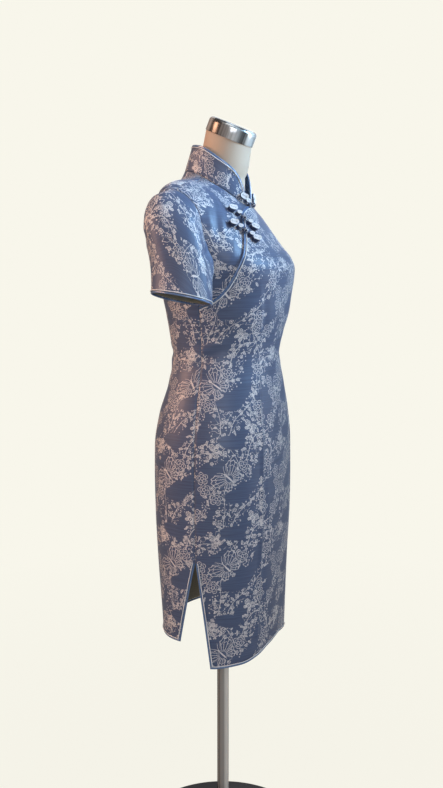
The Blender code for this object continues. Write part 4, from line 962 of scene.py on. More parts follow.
# --- finishes ---
@dataclass(frozen=True)
class Jacquard:
    """Silk jacquard: outlined blossoms, buds, leaves and butterflies on trailing stems."""

    name: str = "jacquard"
    ground: Colour = rgb(80, 93, 120)
    dark: Colour = rgb(66, 74, 97)
    motif: Colour = rgb(218, 211, 207)
    tile: float = 180.0
    trail: float = 63.64         # between two stems
    # Where each large motif stands in the repeat, in millimetres, and its turn in radians.
    blossoms: tuple = ((120, 113, 0.2), (64, 50, 1.1), (36, 90, 2.0), (40, 68, 0.7),
                       (8, 116, 1.6), (168, 46, 0.4), (173, 24, 2.6), (24, 16, 1.3))
    big_butterflies: tuple = ((90, 90, -0.8),)
    small_butterflies: tuple = ((140, 7, 0.6), (66, 146, -1.9))
    bare_patches: tuple = ((106, 54, 0.0), (98, 160, 0.15), (14, 66, -0.3))
    blossom_radius: float = 12.5
    shift: tuple = (86.0, -4.0, 0.0)
    small_share: float = 2.3     # how many times smaller the small butterflies are
    floret_cell: float = 11.6
    floret_reach: float = 16.0   # how far from a stem they still grow
    floret_share: float = 0.60
    bud_cell: float = 5.4
    bud_reach: float = 19.0
    bud_share: float = 0.50

    def nearest(self, at: Wire, places: tuple) -> Wire:
        """Coordinates from the nearest of the repeated places, turned with it.

        Args:
            at: the point on the cloth, in millimetres.
            places: where the motif stands.

        Returns:
            The point in the motif's own frame.
        """
        shade = at.shade
        half, far = self.tile / 2, 100.0
        best = chosen = None
        for x, y, turn in places:
            away = shade.vector("SUBTRACT", at, (x, y, -turn))
            away = shade.vector("WRAP", away, (half, half, far), (-half, -half, -far))
            distance = shade.vector("LENGTH", away)
            if best is None:
                best, chosen = distance, away
            else:
                chosen = shade.chosen(distance < best, chosen, away)
                best = best & distance
        return shade.turned(chosen, chosen.part(2))

    def petals(self, at: Wire, radius: Wire | float, rich: bool) -> tuple[Wire, Wire]:
        """A five-petalled blossom in outline.

        Args:
            at: the point from the blossom's middle, in millimetres.
            radius: its size.
            rich: whether it has an inner outline, a ring and stamens.

        Returns:
            The drawn lines, and the distance outside the petals.
        """
        shade, x, y = at.shade, at.part(0), at.part(1)
        reach = shade.math("SQRT", x * x + y * y)
        turn = shade.math("ARCTAN2", y, x) * (5 / tau) + 10.5
        gap = abs(shade.math("FRACT", turn) - 0.5) * 2.0
        edge = radius * (1.0 - 0.40 * gap * gap)
        drawn = shade.stroke(reach - edge, 0.56)
        if rich:
            inner = shade.stroke(reach - edge * 0.66, 0.42) * (gap < 0.82)
            ring = shade.stroke(reach - radius * 0.24, 0.55)
            spokes = shade.stroke((1.0 - gap) * reach * 0.6, 0.42) * (reach > radius * 0.34) * (reach < edge)
            return drawn | inner | ring | spokes, reach - edge
        return drawn | shade.filled(reach - 1.15), reach - edge

    def leaf(self, at: Wire, length: float, width: float) -> Wire:
        """A pointed leaf in outline with its rib."""
        shade, x, y = at.shade, abs(at.part(0)), abs(at.part(1))
        side = y - width * (1.0 - (x / length) ** 2)
        return (shade.stroke(side, 0.5) | shade.stroke(y, 0.32)) * (x < length)

    def butterfly(self, at: Wire, thread: float = 1.0) -> tuple[Wire, Wire]:
        """A butterfly with striped wings.

        Args:
            at: the point from its middle, in millimetres, its head towards Y.
            thread: how much wider its lines are drawn.

        Returns:
            The drawn lines, and the distance outside the wings.
        """
        shade, x, y = at.shade, abs(at.part(0)), at.part(1)
        reach = shade.math("SQRT", x * x + y * y)
        turn = shade.math("ARCTAN2", x, y)
        fore = 36.0 * shade.sine(shade.clamped((turn - 0.30) / 1.35) * pi) ** 0.42
        hind = 25.0 * shade.sine(shade.clamped((turn - 1.60) / 1.20) * pi) ** 0.42
        edge = (fore | hind) * (1.0 + 0.04 * shade.sine(turn * 26.0))
        inside = reach < edge
        outline = shade.stroke(reach - edge, 0.75 * thread)
        band = shade.stroke(reach - edge * 0.76, 0.45 * thread) * inside
        veins = shade.stroke(shade.sine(turn * 11.0) * reach / 11.0, 0.45 * thread) * inside * (reach > 7.0)
        body = shade.filled(x - 1.6 + 0.010 * y * y)
        feeler = shade.stroke(x - 0.03 * (y - 9.0) * (y - 9.0) - 0.5, 0.45 * thread)
        return outline | band | veins | body | (feeler * (y > 9.0) * (y < 26.0)), reach - edge

    def trailing(self, at: Wire) -> Wire:
        """The distance across the cloth from the nearest of the winding stems, in millimetres."""
        shade, x, y = at.shade, at.part(0), at.part(1)
        step = tau / self.tile
        sway = 9.0 * shade.sine((x + y) * step) + 7.0 * shade.sine((2 * x - y) * step + 1.0)
        slanting = shade.math("WRAP", (y - x) * sqrt(0.5) + sway, self.trail / 2, -self.trail / 2)
        sway = 16.0 * shade.sine(y * step + 0.6) + 7.0 * shade.sine((x + 2 * y) * step)
        upright = shade.math("WRAP", x + sway, self.tile / 4, -self.tile / 4)
        return abs(slanting) & abs(upright)

    def cells(self, at: Wire, size: float) -> tuple[Wire, Wire, Wire]:
        """Scattered small places, each point given the nearest.

        Args:
            at: the point on the cloth, in millimetres.
            size: about how far apart they are.

        Returns:
            The point from the place, the place itself, and three chances for it.
        """
        shade = at.shade
        inputs = {"Vector": shade.scaled(at, 1 / size), "Scale": 1.0, "Randomness": 0.8}
        found = shade.node("ShaderNodeTexVoronoi", inputs, voronoi_dimensions="2D")
        middle = shade.scaled(Wire(shade, found.outputs["Position"]), size)
        return shade.vector("SUBTRACT", at, middle), middle, Wire(shade, found.outputs["Color"])

    def large(self, at: Wire) -> tuple[Wire, list[Wire]]:
        """The blossoms and butterflies, and the distances outside them."""
        blossom, off_blossom = self.petals(self.nearest(at, self.blossoms), self.blossom_radius, True)
        wings, off_wings = self.butterfly(self.nearest(at, self.big_butterflies))
        frame = at.shade.scaled(self.nearest(at, self.small_butterflies), self.small_share)
        small_wings, off_small = self.butterfly(frame, self.small_share)
        return blossom | wings | small_wings, [off_blossom, off_wings, off_small / self.small_share]

    def small(self, at: Wire) -> Wire:
        """The florets and leaves along the stems, each turned by chance, the buds, the stems and twigs."""
        shade = at.shade
        away, middle, chance = self.cells(at, self.floret_cell)
        present = (self.trailing(middle) < self.floret_reach) * (chance.part(2) < self.floret_share)
        own = shade.turned(away, chance.part(0) * tau)
        floret, _ = self.petals(own, 2.9 + 1.8 * chance.part(2), False)
        leaf = self.leaf(own, 5.0, 1.6)
        sprigs = shade.math("MULTIPLY_ADD", chance.part(1) > 0.60, leaf - floret, floret) * present

        away, middle, chance = self.cells(at, self.bud_cell)
        present = (self.trailing(middle) < self.bud_reach) * (chance.part(2) < self.bud_share)
        bud = shade.filled(shade.vector("LENGTH", away) - (0.7 + 0.8 * chance.part(0)), 0.5) * present
        near = self.trailing(at)
        stem = shade.stroke(near, 0.55)
        twig = shade.stroke((shade.noise(at, 0.055, 1.0) - 0.5) * 60.0, 0.55) * (near < self.floret_reach)
        return sprigs | (bud * 0.9) | (stem * 0.85) | (twig * 0.8)

    def drawing(self, cloth: Wire) -> Wire:
        """The whole woven drawing, 1 where the motif's thread floats."""
        shade = cloth.shade
        at = shade.vector("ADD", shade.scaled(cloth, 1 / MM), self.shift)
        wobble = shade.vector("SUBTRACT", shade.noise(at, 0.35, 1.0, 1), (0.5, 0.5, 0.5))
        at = shade.vector("ADD", at, shade.vector("MULTIPLY", wobble, (2.0, 2.0, 0.0)))
        large, distances = self.large(at)
        frame = self.nearest(at, self.bare_patches)
        bare = shade.filled((frame.part(0) / 27.0) ** 2 + (frame.part(1) / 14.0) ** 2 - 1.0, 0.25)
        scattered = self.small(at) * (1.0 - bare)
        for off in distances:
            scattered = scattered * shade.filled(0.8 - off, 0.6)
        return large | scattered

    def make(self) -> Material:
        """The material."""
        shade = Shade(self.name)
        cloth = shade.cloth()
        drawn = self.drawing(cloth)
        slub = shade.noise(shade.vector("MULTIPLY", cloth, (14.0, 420.0, 1.0)), 1.0, 3.0)
        weave = shade.twill(cloth, 260.0)
        ground = shade.mixed(shade.clamped((slub - 0.3) * 2.2), self.dark, self.ground)
        thread = shade.mixed(slub, tuple(0.82 * c for c in self.motif), self.motif)
        colour = shade.mixed(drawn, ground, thread)
        height = drawn * 0.8 + slub * 0.25 + weave * 0.12
        return shade.finish(colour, 0.47 + 0.12 * drawn, height, 0.16 * MM, Sheen_Weight=0.18,
                            Sheen_Roughness=0.35, Sheen_Tint=(0.75, 0.85, 1.0, 1.0), Specular_IOR_Level=0.42)


@dataclass(frozen=True)
class Plain:
    """A woven cloth of one colour: the jacquard's reverse, and the satin of the bindings."""

    name: str
    colour: Colour
    dark: Colour
    roughness: float
    sheen: float
    specular: float
    ribs: float = 900.0 / 6.3

    def make(self) -> Material:
        """The material."""
        shade = Shade(self.name)
        cloth = shade.cloth()
        slub = shade.noise(shade.vector("MULTIPLY", cloth, (30.0, 500.0, 1.0)), 1.0, 3.0)
        ribs = shade.twill(cloth, self.ribs)
        colour = shade.mixed(shade.clamped(slub * 1.4 - 0.2), self.dark, self.colour)
        return shade.finish(colour, self.roughness + 0.12 * (slub - 0.5), slub * 0.5 + ribs * 0.4, 0.06 * MM,
                            Sheen_Weight=self.sheen, Sheen_Roughness=0.3, Specular_IOR_Level=self.specular)


@dataclass(frozen=True)
class Twist:
    """A twisted cord, its strands slanting round it, the grooves between them darkened as painted shade."""

    name: str
    # light is the cord's own colour, dark the painted shade of its grooves
    light: Colour
    dark: Colour
    roughness: float
    turns: float = 420.0         # strands to a metre
    round: float = 4 * MM        # about the way round the cord

    def make(self) -> Material:
        """The material."""
        shade = Shade(self.name)
        cloth = shade.cloth()
        phase = cloth.part(0) * self.turns + cloth.part(1) * (2.0 / self.round)
        strand = shade.sine(phase * tau) * 0.5 + 0.5
        fuzz = shade.noise(cloth, 2600.0, 2.0)
        # Painted shade: the colour darkens in the grooves between strands; the fuzz varies the tone at
        # random.
        colour = shade.mixed(shade.clamped(strand * 0.7 + fuzz * 0.4), self.dark, self.light)
        return shade.finish(colour, self.roughness, strand * 0.8 + fuzz * 0.2, 0.12 * MM, Sheen_Weight=0.2,
                            Sheen_Roughness=0.4)


@dataclass(frozen=True)
class FormCover:
    """The form's matte knitted cover."""

    name: str = "form_cover"
    colour: Colour = rgb(188, 165, 142)
    dark: Colour = rgb(176, 153, 130)

    def make(self) -> Material:
        """The material."""
        shade = Shade(self.name)
        at = shade.place()
        cloud = shade.noise(at, 9.0, 3.0)
        inputs = {"Vector": at, "Scale": 150.0, "Distortion": 0.6, "Detail": 1.0}
        knit = shade.wire("ShaderNodeTexWave", 0, inputs, bands_direction="Z")
        grain = shade.noise(at, 900.0, 2.0)
        colour = shade.mixed(shade.clamped(cloud * 1.3 - 0.15), self.dark, self.colour)
        return shade.finish(colour, 0.72 + 0.1 * (grain - 0.5), knit * 0.6 + grain * 0.4, 0.05 * MM,
                            Sheen_Weight=0.15, Sheen_Roughness=0.5)


@dataclass(frozen=True)
class Chrome:
    """Bright metal with painted reflection: light and dark bands streaked along its axis."""

    lean: float = 0.0            # how far the axis leans forwards for each metre up
    across: float = 38.0         # streaks to a metre
    name: str = "chrome"
    # light and dark: the two tones of the painted reflection bands
    light: Colour = rgb(236, 232, 224)
    dark: Colour = rgb(84, 80, 76)

    def make(self) -> Material:
        """The material."""
        shade = Shade(self.name)
        at = shade.place()
        level = shade.joined(at.part(0), at.part(1) + self.lean * at.part(2))
        wide = shade.noise(level, self.across, 0.0)
        fine = shade.noise(level, 6 * self.across, 1.0)
        smear = shade.noise(at, 24.0, 3.0)
        # Painted reflection: these light and dark bands stand in for what the chrome mirrors.
        share = shade.clamped((wide - 0.42) * 4.5 + (fine - 0.5) * 0.9)
        colour = shade.mixed(share, self.dark, self.light)
        return shade.finish(colour, 0.14 + 0.14 * smear, fine, 0.02 * MM, Metallic=0.55)


@dataclass(frozen=True)
class BasePaint:
    """The base's fine-grained enamel, a little worn."""

    name: str = "base_paint"
    colour: Colour = rgb(52, 52, 56)
    worn: Colour = rgb(84, 84, 88)

    def make(self) -> Material:
        """The material."""
        shade = Shade(self.name)
        at = shade.place()
        grain = shade.noise(at, 700.0, 2.0)
        cloud = shade.noise(at, 12.0, 4.0)
        colour = shade.mixed(shade.clamped(cloud * 2.0 - 0.9), self.colour, self.worn)
        return shade.finish(colour, 0.34 + 0.25 * cloud, grain, 0.05 * MM, Specular_IOR_Level=0.5)


class Finish(Enum):
    """The finishes, each making its named material once."""

    JACQUARD = Jacquard()
    REVERSE = Plain("jacquard_reverse", rgb(150, 143, 122), rgb(118, 112, 100), 0.62, 0.15, 0.3)
    SATIN = Plain("satin", rgb(104, 130, 166), rgb(58, 78, 112), 0.26, 0.30, 0.9)
    SILVER_CORD = Twist("silver_cord", rgb(238, 236, 232), rgb(190, 189, 194), 0.34)
    FROG_CORD = Twist("frog_cord", rgb(40, 50, 84), rgb(14, 18, 36), 0.42)
    FORM_COVER = FormCover()
    CAP_CHROME = Chrome(lean=0.414)
    POLE_CHROME = Chrome()
    BASE_PAINT = BasePaint()

    @cache
    def material(self) -> Material:
        """The material, made once."""
        return self.value.make()


# --- from grids to pieces ---
def meshed(name: str, bm: Shape) -> bpy.types.Mesh:
    """A finished bmesh as a mesh."""
    mesh = bpy.data.meshes.new(name)
    bm.to_mesh(mesh)
    bm.free()
    return mesh


def linked(name: str, data: bpy.types.ID) -> Piece:
    """An object in the scene."""
    made = bpy.data.objects.new(name, data)
    bpy.context.scene.collection.objects.link(made)
    return made


def placed(name: str, node: str | None, bm: Shape, *finishes: Finish) -> Piece:
    """A finished bmesh as a piece that rides on the one body, in place of a node where one is named."""
    mesh = meshed(name, bm)
    for finish in finishes:
        mesh.materials.append(finish.material())
    mesh.shade_smooth()
    mesh.set_sharp_from_angle(angle=radians(50))
    made = linked(name, mesh)
    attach(made, BODY)
    if node:
        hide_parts(node)
    return made


def closed(bm: Shape, merge: float = 1e-6) -> Shape:
    """Merge a mesh's doubles, fill its open ends and turn its faces outwards."""
    bmesh.ops.remove_doubles(bm, verts=bm.verts, dist=merge)
    rims = [edge for edge in bm.edges if edge.is_boundary]
    if rims:
        bmesh.ops.holes_fill(bm, edges=rims, sides=0)
    bmesh.ops.recalc_face_normals(bm, faces=bm.faces)
    if bm.calc_volume(signed=True) < 0:
        bmesh.ops.reverse_faces(bm, faces=bm.faces)
    return bm


def grid_mesh(points: Array, cloth: Array) -> Shape:
    """A grid of faces through rows of points.

    Args:
        points: rows and columns of places.
        cloth: the same of lengths along the cloth.

    Returns:
        The mesh, with the cloth's map and one that fills the square.
    """
    rows, columns = points.shape[:2]
    bm = bmesh.new()
    bmesh.ops.create_grid(bm, x_segments=columns - 1, y_segments=rows - 1, size=1.0)
    flat, lengths = points.reshape(-1, 3), cloth.reshape(-1, 2)
    for vert in bm.verts:
        row = round((vert.co.y + 1) / 2 * (rows - 1))
        column = round((vert.co.x + 1) / 2 * (columns - 1))
        vert.index = row * columns + column
    cloth_map, bake_map = bm.loops.layers.uv.new(CLOTH_MAP), bm.loops.layers.uv.new(BAKE_MAP)
    for face in bm.faces:
        for loop in face.loops:
            index = loop.vert.index
            loop[cloth_map].uv = lengths[index]
            loop[bake_map].uv = ((index % columns + 0.5) / columns, (index // columns + 0.5) / rows)
    for vert in bm.verts:
        vert.co = flat[vert.index]
    return bm


def faced(bm: Shape, outward: Array) -> None:
    """Turn an open grid over if it faces away from its outward directions."""
    bm.normal_update()
    agree = sum(face.normal.dot(Vector(outward[face.verts[0].index])) for face in list(bm.faces)[::37])
    if agree < 0:
        bmesh.ops.reverse_faces(bm, faces=bm.faces)


def walled(piece: Piece, thickness: float) -> None:
    """Give a sheet its thickness inwards, the reverse on its inner side, and keep the result as its mesh."""
    wall = piece.modifiers.new("wall", "SOLIDIFY")
    wall.thickness = thickness
    wall.offset = -1.0
    wall.use_quality_normals = True
    wall.material_offset = 1
    evaluated = piece.evaluated_get(bpy.context.evaluated_depsgraph_get())
    mesh = bpy.data.meshes.new_from_object(evaluated)
    piece.modifiers.clear()
    mesh.name = piece.name
    piece.data = mesh
    inner = np.zeros(len(mesh.polygons), dtype=np.int32)
    counts = np.zeros(len(mesh.polygons), dtype=np.int32)
    mesh.polygons.foreach_get("material_index", inner)
    mesh.polygons.foreach_get("loop_total", counts)
    layer = mesh.uv_layers[BAKE_MAP].data
    square = np.zeros(2 * len(layer), dtype=np.float32)
    layer.foreach_get("uv", square)
    square = square.reshape(-1, 2)
    inside = np.repeat(inner, counts) > 0
    square[:, 1] = np.where(inside, 0.01 + 0.17 * square[:, 1], 0.20 + 0.79 * square[:, 1])
    layer.foreach_set("uv", square.ravel())


# What is sewn on each sheet: the bindings, and the halves of the frogs.
SEWN_ON = {
    "front_cloth": (("front_edge", "opening"), ("frog_chest_upper_loop", "frog_chest_lower_loop")),
    "back_cloth": (("back_edge",), ()),
    "right_front_cloth": ((), ("frog_chest_upper_knot", "frog_chest_lower_knot")),
    "sleeve_right_cloth": (("cuff_right",), ()),
    "sleeve_left_cloth": (("cuff_left",), ()),
    "collar_cloth": (("collar",), ("frog_collar_knot", "frog_collar_loop")),
}


@dataclass
class Sheet:
    """A sewn piece: a grid of outer points, and the cut that it was made from."""

    name: str
    node: str
    points: Array
    cloth: Array
    outward: Array
    flat: Pair
    area: float
    joined: bool = False         # its last column is its first
    reverse: Finish = Finish.REVERSE
    laid: ClassVar[list] = []    # each sheet made, with its piece

    def make(self) -> Piece:
        """Build the piece in place of its node."""
        bm = grid_mesh(self.points, self.cloth)
        faced(bm, self.outward.reshape(-1, 3))
        if self.joined:
            bmesh.ops.remove_doubles(bm, verts=bm.verts, dist=1e-6)
        piece = placed(self.name, self.node, bm, Finish.JACQUARD, self.reverse)
        walled(piece, CUT.wall)
        self.laid.append((self, piece))
        return piece

    @classmethod
    def declare(cls) -> None:
        """Work out the names of what is sewn on each sheet, once all of that is made."""
        for sheet, piece in cls.laid:
            bindings, frogs = SEWN_ON[sheet.name]
            sewn = [f"{name}_{part}" for name in bindings for part in ("satin", "cord")]
            sewn += [f"{name}_{part}" for name in frogs for part in ("tape", "edging")]


def section_round(width: float, height: float, low: float, corner: float, steps: int = 3) -> Array:
    """A rounded rectangle from (0, low), turning towards its height.

    Args:
        width: its size across.
        height: its size upwards.
        low: where it starts upwards.
        corner: the corners' radius.
        steps: faces round a corner.

    Returns:
        The outline's points, two numbers each.
    """
    corner = min(corner, width / 2, height / 2)
    right, top, bottom = width - corner, low + height - corner, low + corner
    middles = [(right, top), (corner, top), (corner, bottom), (right, bottom)]
    made = []
    for quarter, (x, y) in enumerate(middles):
        for k in range(steps + 1):
            turn = (quarter + k / steps) * pi / 2
            made.append((x + corner * cos(turn), y + corner * sin(turn)))
    return np.array(made)


def section_ring(radius: float, count: int = 8) -> Array:
    """A round outline."""
    turn = np.linspace(0, tau, count, endpoint=False)
    return radius * np.stack([np.cos(turn), np.sin(turn)], -1)


def swept(path: Array, across: Array, up: Array, section: Array, ring: bool = False) -> Shape:
    """A strip or cord along a path, closed at its ends.

    Args:
        path: its line.
        across: a direction at each point of the line.
        up: another, square to it.
        section: its outline, in those two directions.
        ring: whether its last point is joined to its first.

    Returns:
        The mesh.
    """
    if ring:
        path, across, up = (np.concatenate([line, line[:1]]) for line in (path, across, up))
    section = np.concatenate([section, section[:1]])
    points = path[None] + section[:, None, :1] * across[None] + section[:, None, 1:] * up[None]
    along = np.broadcast_to(lengths_along(path)[None], points.shape[:2])
    around = np.broadcast_to(lengths_along(section)[:, None], points.shape[:2])
    return closed(grid_mesh(points, np.stack([along, around], -1)))


def cord_frames(path: Array, ring: bool = False) -> tuple[Array, Array]:
    """Two directions square to a cord's path at each point, turning as little as they can."""
    if ring:
        run = unit(np.roll(path, -1, axis=0) - np.roll(path, 1, axis=0))
    else:
        run = unit(np.gradient(path, axis=0))
    across = [unit(np.cross(run[0], (0.3, 0.5, 0.81)))]
    for direction in run[1:]:
        across.append(unit(across[-1] - across[-1].dot(direction) * direction))
    across = np.array(across)
    return across, np.cross(run, across)


# --- the dress ---
@dataclass
class Binding:
    """A folded satin strip on an edge, and the silver piping inside it."""

    name: str
    edge: Array
    inner: Array
    piping: Array
    outward: Array
    inner_outward: Array
    piping_outward: Array
    ring: bool = False
    trim: float = 0.4 * MM
    fold: float = 1.05 * MM

    def make(self) -> Pieces:
        """Build the strip and its piping in place of their nodes."""
        edge, inner = self.edge.copy(), self.inner.copy()
        if not self.ring:
            for line in (edge, inner):
                line[0] += self.trim * unit(line[1] - line[0])
                line[-1] += self.trim * unit(line[-2] - line[-1])
        up = unit(self.outward + self.inner_outward)
        section = section_round(1.0, CUT.binding_wall, CUT.binding_proud - CUT.binding_wall, self.fold)
        section[:, 0] = section_round(CUT.binding_width, CUT.binding_wall, 0.0, self.fold)[:, 0]
        section[:, 0] /= CUT.binding_width
        mesh = swept(edge, inner - edge, up, section, self.ring)
        strip = placed(f"{self.name}_satin", f"{self.name}_binding", mesh, Finish.SATIN)
        line = self.piping + CUT.piping_lift * self.piping_outward
        mesh = swept(line, *cord_frames(line, self.ring), section_ring(CUT.piping_radius), self.ring)
        return [strip, placed(f"{self.name}_cord", f"{self.name}_piping", mesh, Finish.SILVER_CORD)]


def around_edge(grid: Array, first_row: int) -> Array:
    """A panel's free edge: down its right slit, along its hem and up its left slit."""
    return np.concatenate([grid[first_row:0:-1, 0], grid[0], grid[1:first_row + 1, -1]])


@dataclass
class Panels:
    """The front, the back and the right front under it, with their bindings."""

    figure: Figure
    drape: Drape
    pattern: Pattern
    front_flat: Pair = (0.56, 1.00)
    front_area: float = 0.437
    back_flat: Pair = (0.54, 0.97)
    back_area: float = 0.415
    right_front_flat: Pair = (0.23, 0.30)
    right_front_area: float = 0.036

    def binding(self, name: str, edge: Array, inner: Array, piping: Array) -> Pieces:
        """A binding and piping whose lines are given on the figure."""
        lines = [self.drape.worn(line) for line in (edge, inner, piping)]
        return Binding(name, *lines, *(self.figure.outward(line) for line in (edge, inner, piping))).make()

    def sheet(self, name: str, grid: Array, flat: Pair, area: float, back: bool = False,
              drop: float | Array = 0.0) -> Piece:
        """A panel from its grid on the figure."""
        outward = self.figure.outward(grid)
        points = grid + (self.drape.height(grid) - drop)[..., None] * outward
        node = {"front_cloth": "front_panel", "back_cloth": "back_panel"}.get(name, "right_front")
        return Sheet(name, node, points, self.figure.cloth_map(grid, back), outward, flat, area).make()

    def edge_off(self, grid: Array) -> Array:
        """How far a panel stops short of each row's side: for the binding up to the slit's top."""
        rows = np.arange(len(grid))
        return np.where(rows <= CUT.slit_steps, CUT.panel_back_off, CUT.seam_half)

    def slit_binding(self, name: str, grid: Array) -> Pieces:
        """The binding down one slit, along the hem and up the other."""
        lines = []
        for inset in CUT.insets:
            side = max(inset, CUT.seam_half)
            lines.append(around_edge(pulled_in(grid, low=inset, right=side, left=side), CUT.slit_steps))
        return self.binding(name, *(self.figure.onto(line) for line in lines))

    def make_front(self) -> Pieces:
        """The front with its edge binding and the curved opening's."""
        grid = self.pattern.front()
        side = self.edge_off(grid)
        middle = CUT.opening_steps
        high = np.where(np.arange(grid.shape[1]) <= middle, CUT.panel_back_off, CUT.seam_half)
        panel = self.figure.onto(pulled_in(grid, CUT.panel_back_off, high, side, side))
        made = [self.sheet("front_cloth", panel, self.front_flat, self.front_area)]
        made += self.slit_binding("front_edge", grid)
        lines = [pulled_in(grid, high=inset)[-1, :middle + 1] for inset in CUT.insets]
        lines[2][0] += 4 * CUT.seam_half * unit(lines[2][1] - lines[2][0])
        return made + self.binding("opening", *(self.figure.onto(line) for line in lines))

    def make_back(self) -> Pieces:
        """The back with its edge binding."""
        grid = self.pattern.back()
        side = self.edge_off(grid)
        panel = self.figure.onto(pulled_in(grid, CUT.panel_back_off, CUT.seam_half, side, side))
        made = [self.sheet("back_cloth", panel, self.back_flat, self.back_area, back=True)]
        return made + self.slit_binding("back_edge", grid)

    def make_right_front(self) -> Pieces:
        """The right front, sunk under the front along the opening."""
        grid = self.pattern.underlap()
        right = np.full(len(grid), CUT.seam_half)
        right[0] = 0.0
        grid = pulled_in(grid, high=CUT.seam_half, right=right)
        grid[0, :, 1] -= 2 * CUT.seam_half
        return [self.sheet("right_front_cloth", grid, self.right_front_flat, self.right_front_area,
                           drop=self.pattern.drop(grid))]

    def make(self) -> Pieces:
        """All three."""
        return self.make_front() + self.make_back() + self.make_right_front()


@dataclass
class Sleeve:
    """A short set-in sleeve with its bound cuff."""

    side: Side
    pattern: Pattern
    drape: Drape
    cuff_middle: Triple = (0.2105, 0.0092, 1.1595)
    cuff_half_depth: float = 0.0590
    cuff_half_width: float = 0.046
    abduction: float = radians(14.5)
    cuff_slope: float = 0.130
    puff: float = 3.5
    cap_lift: float = 12.5 * MM  # how far the sleeve's head stands out at the back of the arm
    cap_turn: float = radians(232.0)
    cap_spread: float = radians(48.0)
    rows: int = 44
    flat: Pair = (0.40, 0.20)
    area: float = 0.058
    fold_lip: float = 0.45
    leave_low: Triple = (0.55, 0.0, -0.84)     # the way that it leaves the armhole, below and above
    leave_high: Triple = (0.93, 0.0, -0.36)
    cloth_shift: Pair = (0.03, 1.33)
    # Each fold's two ends, its width and its depth.  An end is a turn, in degrees forwards from the
    # underarm, and a share of the way down.
    folds: tuple = (
        ((58, 0.02), (98, 0.52), 0.0085, 3.2 * MM),
        ((30, 0.10), (52, 0.85), 0.0080, 3.4 * MM),
        ((96, 0.00), (132, 0.34), 0.0080, 2.0 * MM),
        ((330, 0.10), (300, 0.80), 0.0085, 3.0 * MM),
        ((285, 0.02), (240, 0.45), 0.0090, 2.2 * MM),
        ((6, 0.25), (20, 0.92), 0.0075, 2.4 * MM),
    )

    def grid(self) -> tuple[Array, Array]:
        """The left sleeve's outer points, armhole to cuff, and their outward directions."""
        start = np.concatenate([self.pattern.armhole_front, self.pattern.armhole_back[-2:0:-1]])
        if self.side is Side.RIGHT:
            start = mirrored(self.drape.worn(mirrored(start)))
        else:
            start = self.drape.worn(start)
        turn = pi * shares(CUT.armhole_steps, 0.5 + CUT.crowd / 2)
        turn = np.concatenate([turn, tau - turn[-2:0:-1]])[:, None]
        across = np.array([cos(self.abduction), 0.0, sin(self.abduction)])
        down = np.array([sin(self.abduction), 0.0, -cos(self.abduction)])
        forward = unit(np.array([0.0, -1.0, -self.cuff_slope]))
        end = (np.array(self.cuff_middle) - self.cuff_half_width * np.cos(turn) * across
               + self.cuff_half_depth * np.sin(turn) * forward)
        height = (start[:, 2:] - start[:, 2].min()) / np.ptp(start[:, 2])
        leave = np.array(self.leave_low) * (1 - height) + np.array(self.leave_high) * height
        leave = leave + (start - start.mean(axis=0)) * np.array([0.0, self.puff, 0.0])
        reach = np.linalg.norm(end - start, axis=1, keepdims=True)
        grid = np.array([(2 * s ** 3 - 3 * s ** 2 + 1) * start
                         + (s ** 3 - 2 * s ** 2 + s) * reach * unit(leave)
                         + (3 * s ** 2 - 2 * s ** 3) * end + (s ** 3 - s ** 2) * reach * down
                         for s in np.linspace(0, 1, self.rows + 1)])
        share = np.linspace(0, 1, self.rows + 1)[:, None, None]
        rise = smooth_step(share / 0.10) * np.exp(-((share - 0.20) / 0.30) ** 2)
        behind = np.exp(-((turn - self.cap_turn) / self.cap_spread) ** 2)[None]
        grid = grid + self.cap_lift * rise * behind * self.outward(grid)
        return grid, self.outward(grid)

    @staticmethod
    def outward(grid: Array) -> Array:
        """The outward directions of the left sleeve's grid."""
        around = np.roll(grid, -1, axis=1) - np.roll(grid, 1, axis=1)
        return unit(np.cross(np.gradient(grid, axis=0), around))

    def creased(self, grid: Array, outward: Array) -> Array:
        """The grid with the sleeve's folds laid on it."""
        rows, columns = grid.shape[:2]
        flat = grid.reshape(-1, 3)
        height = np.zeros(len(flat))
        for start, end, width, depth in self.folds:
            turns, downs = np.linspace(start, end, 16).T
            row = np.round(downs * (rows - 1)).astype(int)
            column = np.round(turns / 360 * columns).astype(int) % columns
            line = grid[row, column]
            height += Crease(line, width, depth, self.fold_lip).height(flat, line)
        return grid + height.reshape(rows, columns, 1) * outward

    def make(self) -> Pieces:
        """The sleeve's cloth, binding and piping."""
        name = self.side.name.lower()
        grid, outward = self.grid()
        grid = self.creased(grid, outward)
        if self.side is Side.RIGHT:
            grid, outward = mirrored(grid), mirrored(outward)
        cloth = np.stack([slid(grid[:, j], 2 * CUT.seam_half, CUT.panel_back_off)
                          for j in range(grid.shape[1])], 1)
        closed, closed_out = (np.concatenate([a, a[:, :1]], 1) for a in (cloth, outward))
        middle = closed[len(closed) // 2]
        around = np.broadcast_to(lengths_along(middle), closed.shape[:2])
        cloth_map = np.stack([around, -down_columns(closed)], -1) + self.cloth_shift
        made = [Sheet(f"sleeve_{name}_cloth", f"sleeve_{name}", closed, cloth_map, closed_out, self.flat,
                      self.area, joined=True).make()]
        inward = unit(grid[-2] - grid[-1])
        last = outward[-1]
        lines = [grid[-1] + inset * inward for inset in CUT.insets]
        return made + Binding(f"cuff_{name}", *lines, last, last, last, ring=True).make()


